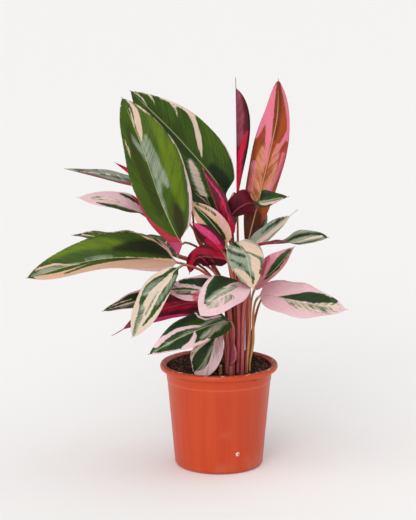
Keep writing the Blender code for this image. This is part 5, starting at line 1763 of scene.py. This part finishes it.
@dataclass
class Stub:
    """The dry stub of a stalk that was cut off, in millimetres.

    CUT gives the rings of its hollowed end: how far below the top each lies, and its share of the radius.
    """

    CUT = ((1.6, 0.97), (0.5, 0.86), (0.1, 0.72), (0.7, 0.5), (1.5, 0.25))

    place: tuple[float, float] = (2.0, -37.0)
    low: float = 128.0
    high: float = 155.0
    radius: float = 2.5
    sides: int = 40
    ribs: int = 9

    def dry_skin(self) -> Material:
        """Build the dry, fibrous skin of the stub."""
        skin = Skin("dry_stalk_skin")
        place = skin.here()
        lines = skin.noise(skin.vector("MULTIPLY", place, (1400.0, 1400.0, 90.0)), 1.0, 3.0, 0.6)
        colour = skin.coats(skin.blend(lines, linear("8A3F22"), linear("C98752")),
                            ("D9B27C", skin.split(place)[2], 0.151, 0.1545, 0.7))
        skin.dress(colour, skin.ramp(lines, 0.3, 0.7, 0.55, 0.8), 0.5, lines, 0.6, 0.3)
        return skin.material

    def build(self) -> Piece:
        """Add the stub, ribbed along its length and hollowed at its cut, and return it."""
        turns = np.linspace(0, 2 * np.pi, self.sides, endpoint=False)
        rows = [(self.low, 1.0)]
        rows += [(height, 1.0) for height in np.linspace(self.low + 9, self.high - 3.2, 9)]
        rows += [(self.high - drop, share) for drop, share in self.CUT]
        points = [(0.0, 0.0, self.low)]
        for height, share in rows:
            ribbed = self.radius * share * (0.95 + 0.05 * np.cos(self.ribs * turns + height * 0.06))
            torn = 0.5 * np.sin(3 * turns + 1) * (height > self.high - 2.5)
            points += np.stack([ribbed * np.cos(turns), ribbed * np.sin(turns),
                                np.minimum(height + torn, self.high)], axis=1).tolist()
        points.append((0.0, 0.0, self.high - 1.8))
        placed = (np.array(points) + (*self.place, 0.0)).tolist()
        mesh = closed_mesh("stub_mesh", placed, self.sides, self.dry_skin(), 50)
        return add_piece("cut_stub_dry", mesh, "cut_stub")


class Lamp(Enum):
    """The studio's suns: where each stands, its power and its soft angle in degrees."""

    KEY = ((-0.35, -0.7, 1.0), 1.1, 70.0)
    BACK = ((0.5, 0.5, 1.0), 0.65, 80.0)
    FRONT = ((-0.25, -1.0, 0.42), 0.95, 40.0)
    LEFT = ((-1.0, -0.25, 0.35), 0.3, 60.0)
    RIGHT = ((1.0, -0.25, 0.35), 0.25, 60.0)


@dataclass
class Studio:
    """The pale floor, the soft light and the camera, in metres and degrees."""

    floor_radius: float = 30.0
    camera_place: Point = (-0.0158, -2.4, 0.753)
    camera_tilt: float = 79.3
    lens: float = 118.5
    sensor: float = 36.0
    white: float = 0.4

    def floor(self) -> None:
        """Add the round floor."""
        work = bmesh.new()
        bmesh.ops.create_circle(work, cap_ends=True, segments=96, radius=self.floor_radius)
        mesh = bpy.data.meshes.new("studio_floor")
        work.to_mesh(mesh)
        work.free()
        skin = Skin("pale_floor")
        skin.fill(skin.shader, {"Base Color": linear("F4F3F2"), "Roughness": 0.9,
                                "Specular IOR Level": 0.1})
        mesh.materials.append(skin.material)
        piece = place_object("studio_floor", mesh)

    def lamps(self) -> None:
        """Add the soft suns and the white surroundings."""
        for which in Lamp:
            (x, y, z), power, size = which.value
            light = bpy.data.lights.new(f"lamp_{which.name.lower()}", "SUN")
            light.energy = power
            light.angle = math.radians(size)
            lamp = place_object(light.name, light)
            lamp.location = (x, y, z)
            lamp.rotation_euler = (math.atan2(math.hypot(x, y), z), 0, math.atan2(x, -y))
        world = bpy.data.worlds.new("studio_white")
        world.use_nodes = True
        ground = world.node_tree.nodes["Background"]
        ground.inputs["Color"].default_value = (1.0, 0.995, 0.985, 1.0)
        ground.inputs["Strength"].default_value = self.white
        bpy.context.scene.world = world

    def camera(self) -> None:
        """Add the camera at the photograph's place."""
        data = bpy.data.cameras.new("studio_camera")
        data.lens, data.sensor_width, data.sensor_fit = self.lens, self.sensor, "AUTO"
        camera = place_object("studio_camera", data)
        camera.location = self.camera_place
        camera.rotation_euler = (math.radians(self.camera_tilt), 0, 0)
        bpy.context.scene.camera = camera

    def build(self) -> None:
        """Build the studio and set plain colour management."""
        self.floor()
        self.lamps()
        self.camera()
        bpy.context.scene.view_settings.view_transform = "Standard"


SLOTS: dict[str, tuple[str, ...]] = {
    "leaf_green": ("tall_left", "tall_back", "arm_upper", "broad_left", "broad_left_back", "low_left",
                   "front_low", "pot_edge", "blue_back", "far_left_high", "far_mid", "far_right_low",
                   "far_left_mid"),
    "leaf_cream": ("hanging_left", "front_top", "arm_right", "arm_right_up", "peach_mid", "far_left_low"),
    "leaf_pink": ("arm_pink", "low_mid", "front_mid", "cup_right", "broad_right", "far_right_high",
                  "far_low"),
    "leaf_crimson": ("spike_left", "magenta_low", "crimson_mid"),
    "leaf_burgundy": ("rolled", "twist_right", "rolled_red", "crimson_edge"),
    "leaf_coral": ("tall_right",),
}
FAR_GROUNDS = {"leaf_far_right_high": PINK, "leaf_far_low": PINK, "leaf_far_left_low": CREAM}
FAR_STROKES = 11
FAR_START = 0.12
FAR_STEP = 0.07


def far_look(name: str, seed: int) -> Look:
    """Paint a leaf of the far side with strokes that follow its veins, from a fixed seed.

    Args:
        name: the leaf's name.
        seed: the seed of its strokes.

    Returns:
        The look.
    """
    ground = FAR_GROUNDS.get(name, GREEN)
    chance = np.random.default_rng(seed)
    marks: list[Stroke] = []
    over = (SAGE, CREAM, CREAM, PINK) if ground is GREEN else (GREEN, GREEN, SAGE, CREAM)
    for number in range(FAR_STROKES):
        side = 1 if number % 2 else -1
        t = FAR_START + FAR_STEP * number + chance.uniform(-0.03, 0.03)
        width = chance.uniform(0.8, 3.4 if ground is GREEN else 4.5)
        reach = chance.uniform(0.45, 1.0)
        layer = over[int(chance.integers(len(over)))]
        marks.append(mark(layer, (t, 0.05 * side, width * 0.4), (t + 0.06, 0.45 * reach * side, width),
                          (t + 0.14, reach * side, width * 0.6)))
    edge = 1 if chance.random() < 0.5 else -1
    marks.append(mark(PINK, (0.08, edge, 1.6), (0.5, edge, 3.2), (0.92, edge, 1.4)))
    marks.append(mark(SAGE, (0.2, 0.03, 0.8), (0.6, 0.03, 2.2), (0.9, 0.02, 1.4)))
    return Look(ground=ground, olive=chance.uniform(0, 0.6), warmth=chance.uniform(0.1, 0.7),
                blush=chance.uniform(0.1, 0.5), stalk=chance.uniform(0.2, 0.9), marks=tuple(marks))


def slot_of(name: str) -> str:
    """Return the material slot that the record gives a leaf."""
    short = name.removeprefix("leaf_")
    return next((slot for slot, names in SLOTS.items() if short in names), "leaf_pink")


def report(*pieces: Piece) -> None:
    """Log finished pieces with their numbers of faces."""
    for piece in pieces:
        LOG.info("%s: %d faces", piece.name, len(piece.data.polygons))


def main() -> None:
    """Build the studio, the pot, the soil and every leaf."""
    logging.basicConfig(level=logging.INFO, format="%(name)s: %(message)s")
    Studio().build()
    report(Pot().build())
    report(*Soil().build())
    report(Stub().build())
    materials = LeafColours().build()
    for seed, leaf in enumerate(LEAVES):
        look = LOOKS.get(leaf.name) or far_look(leaf.name, seed)
        report(LeafPiece(leaf, look, seed).build(materials, slot_of(leaf.name)))


if __name__ == "__main__":
    main()
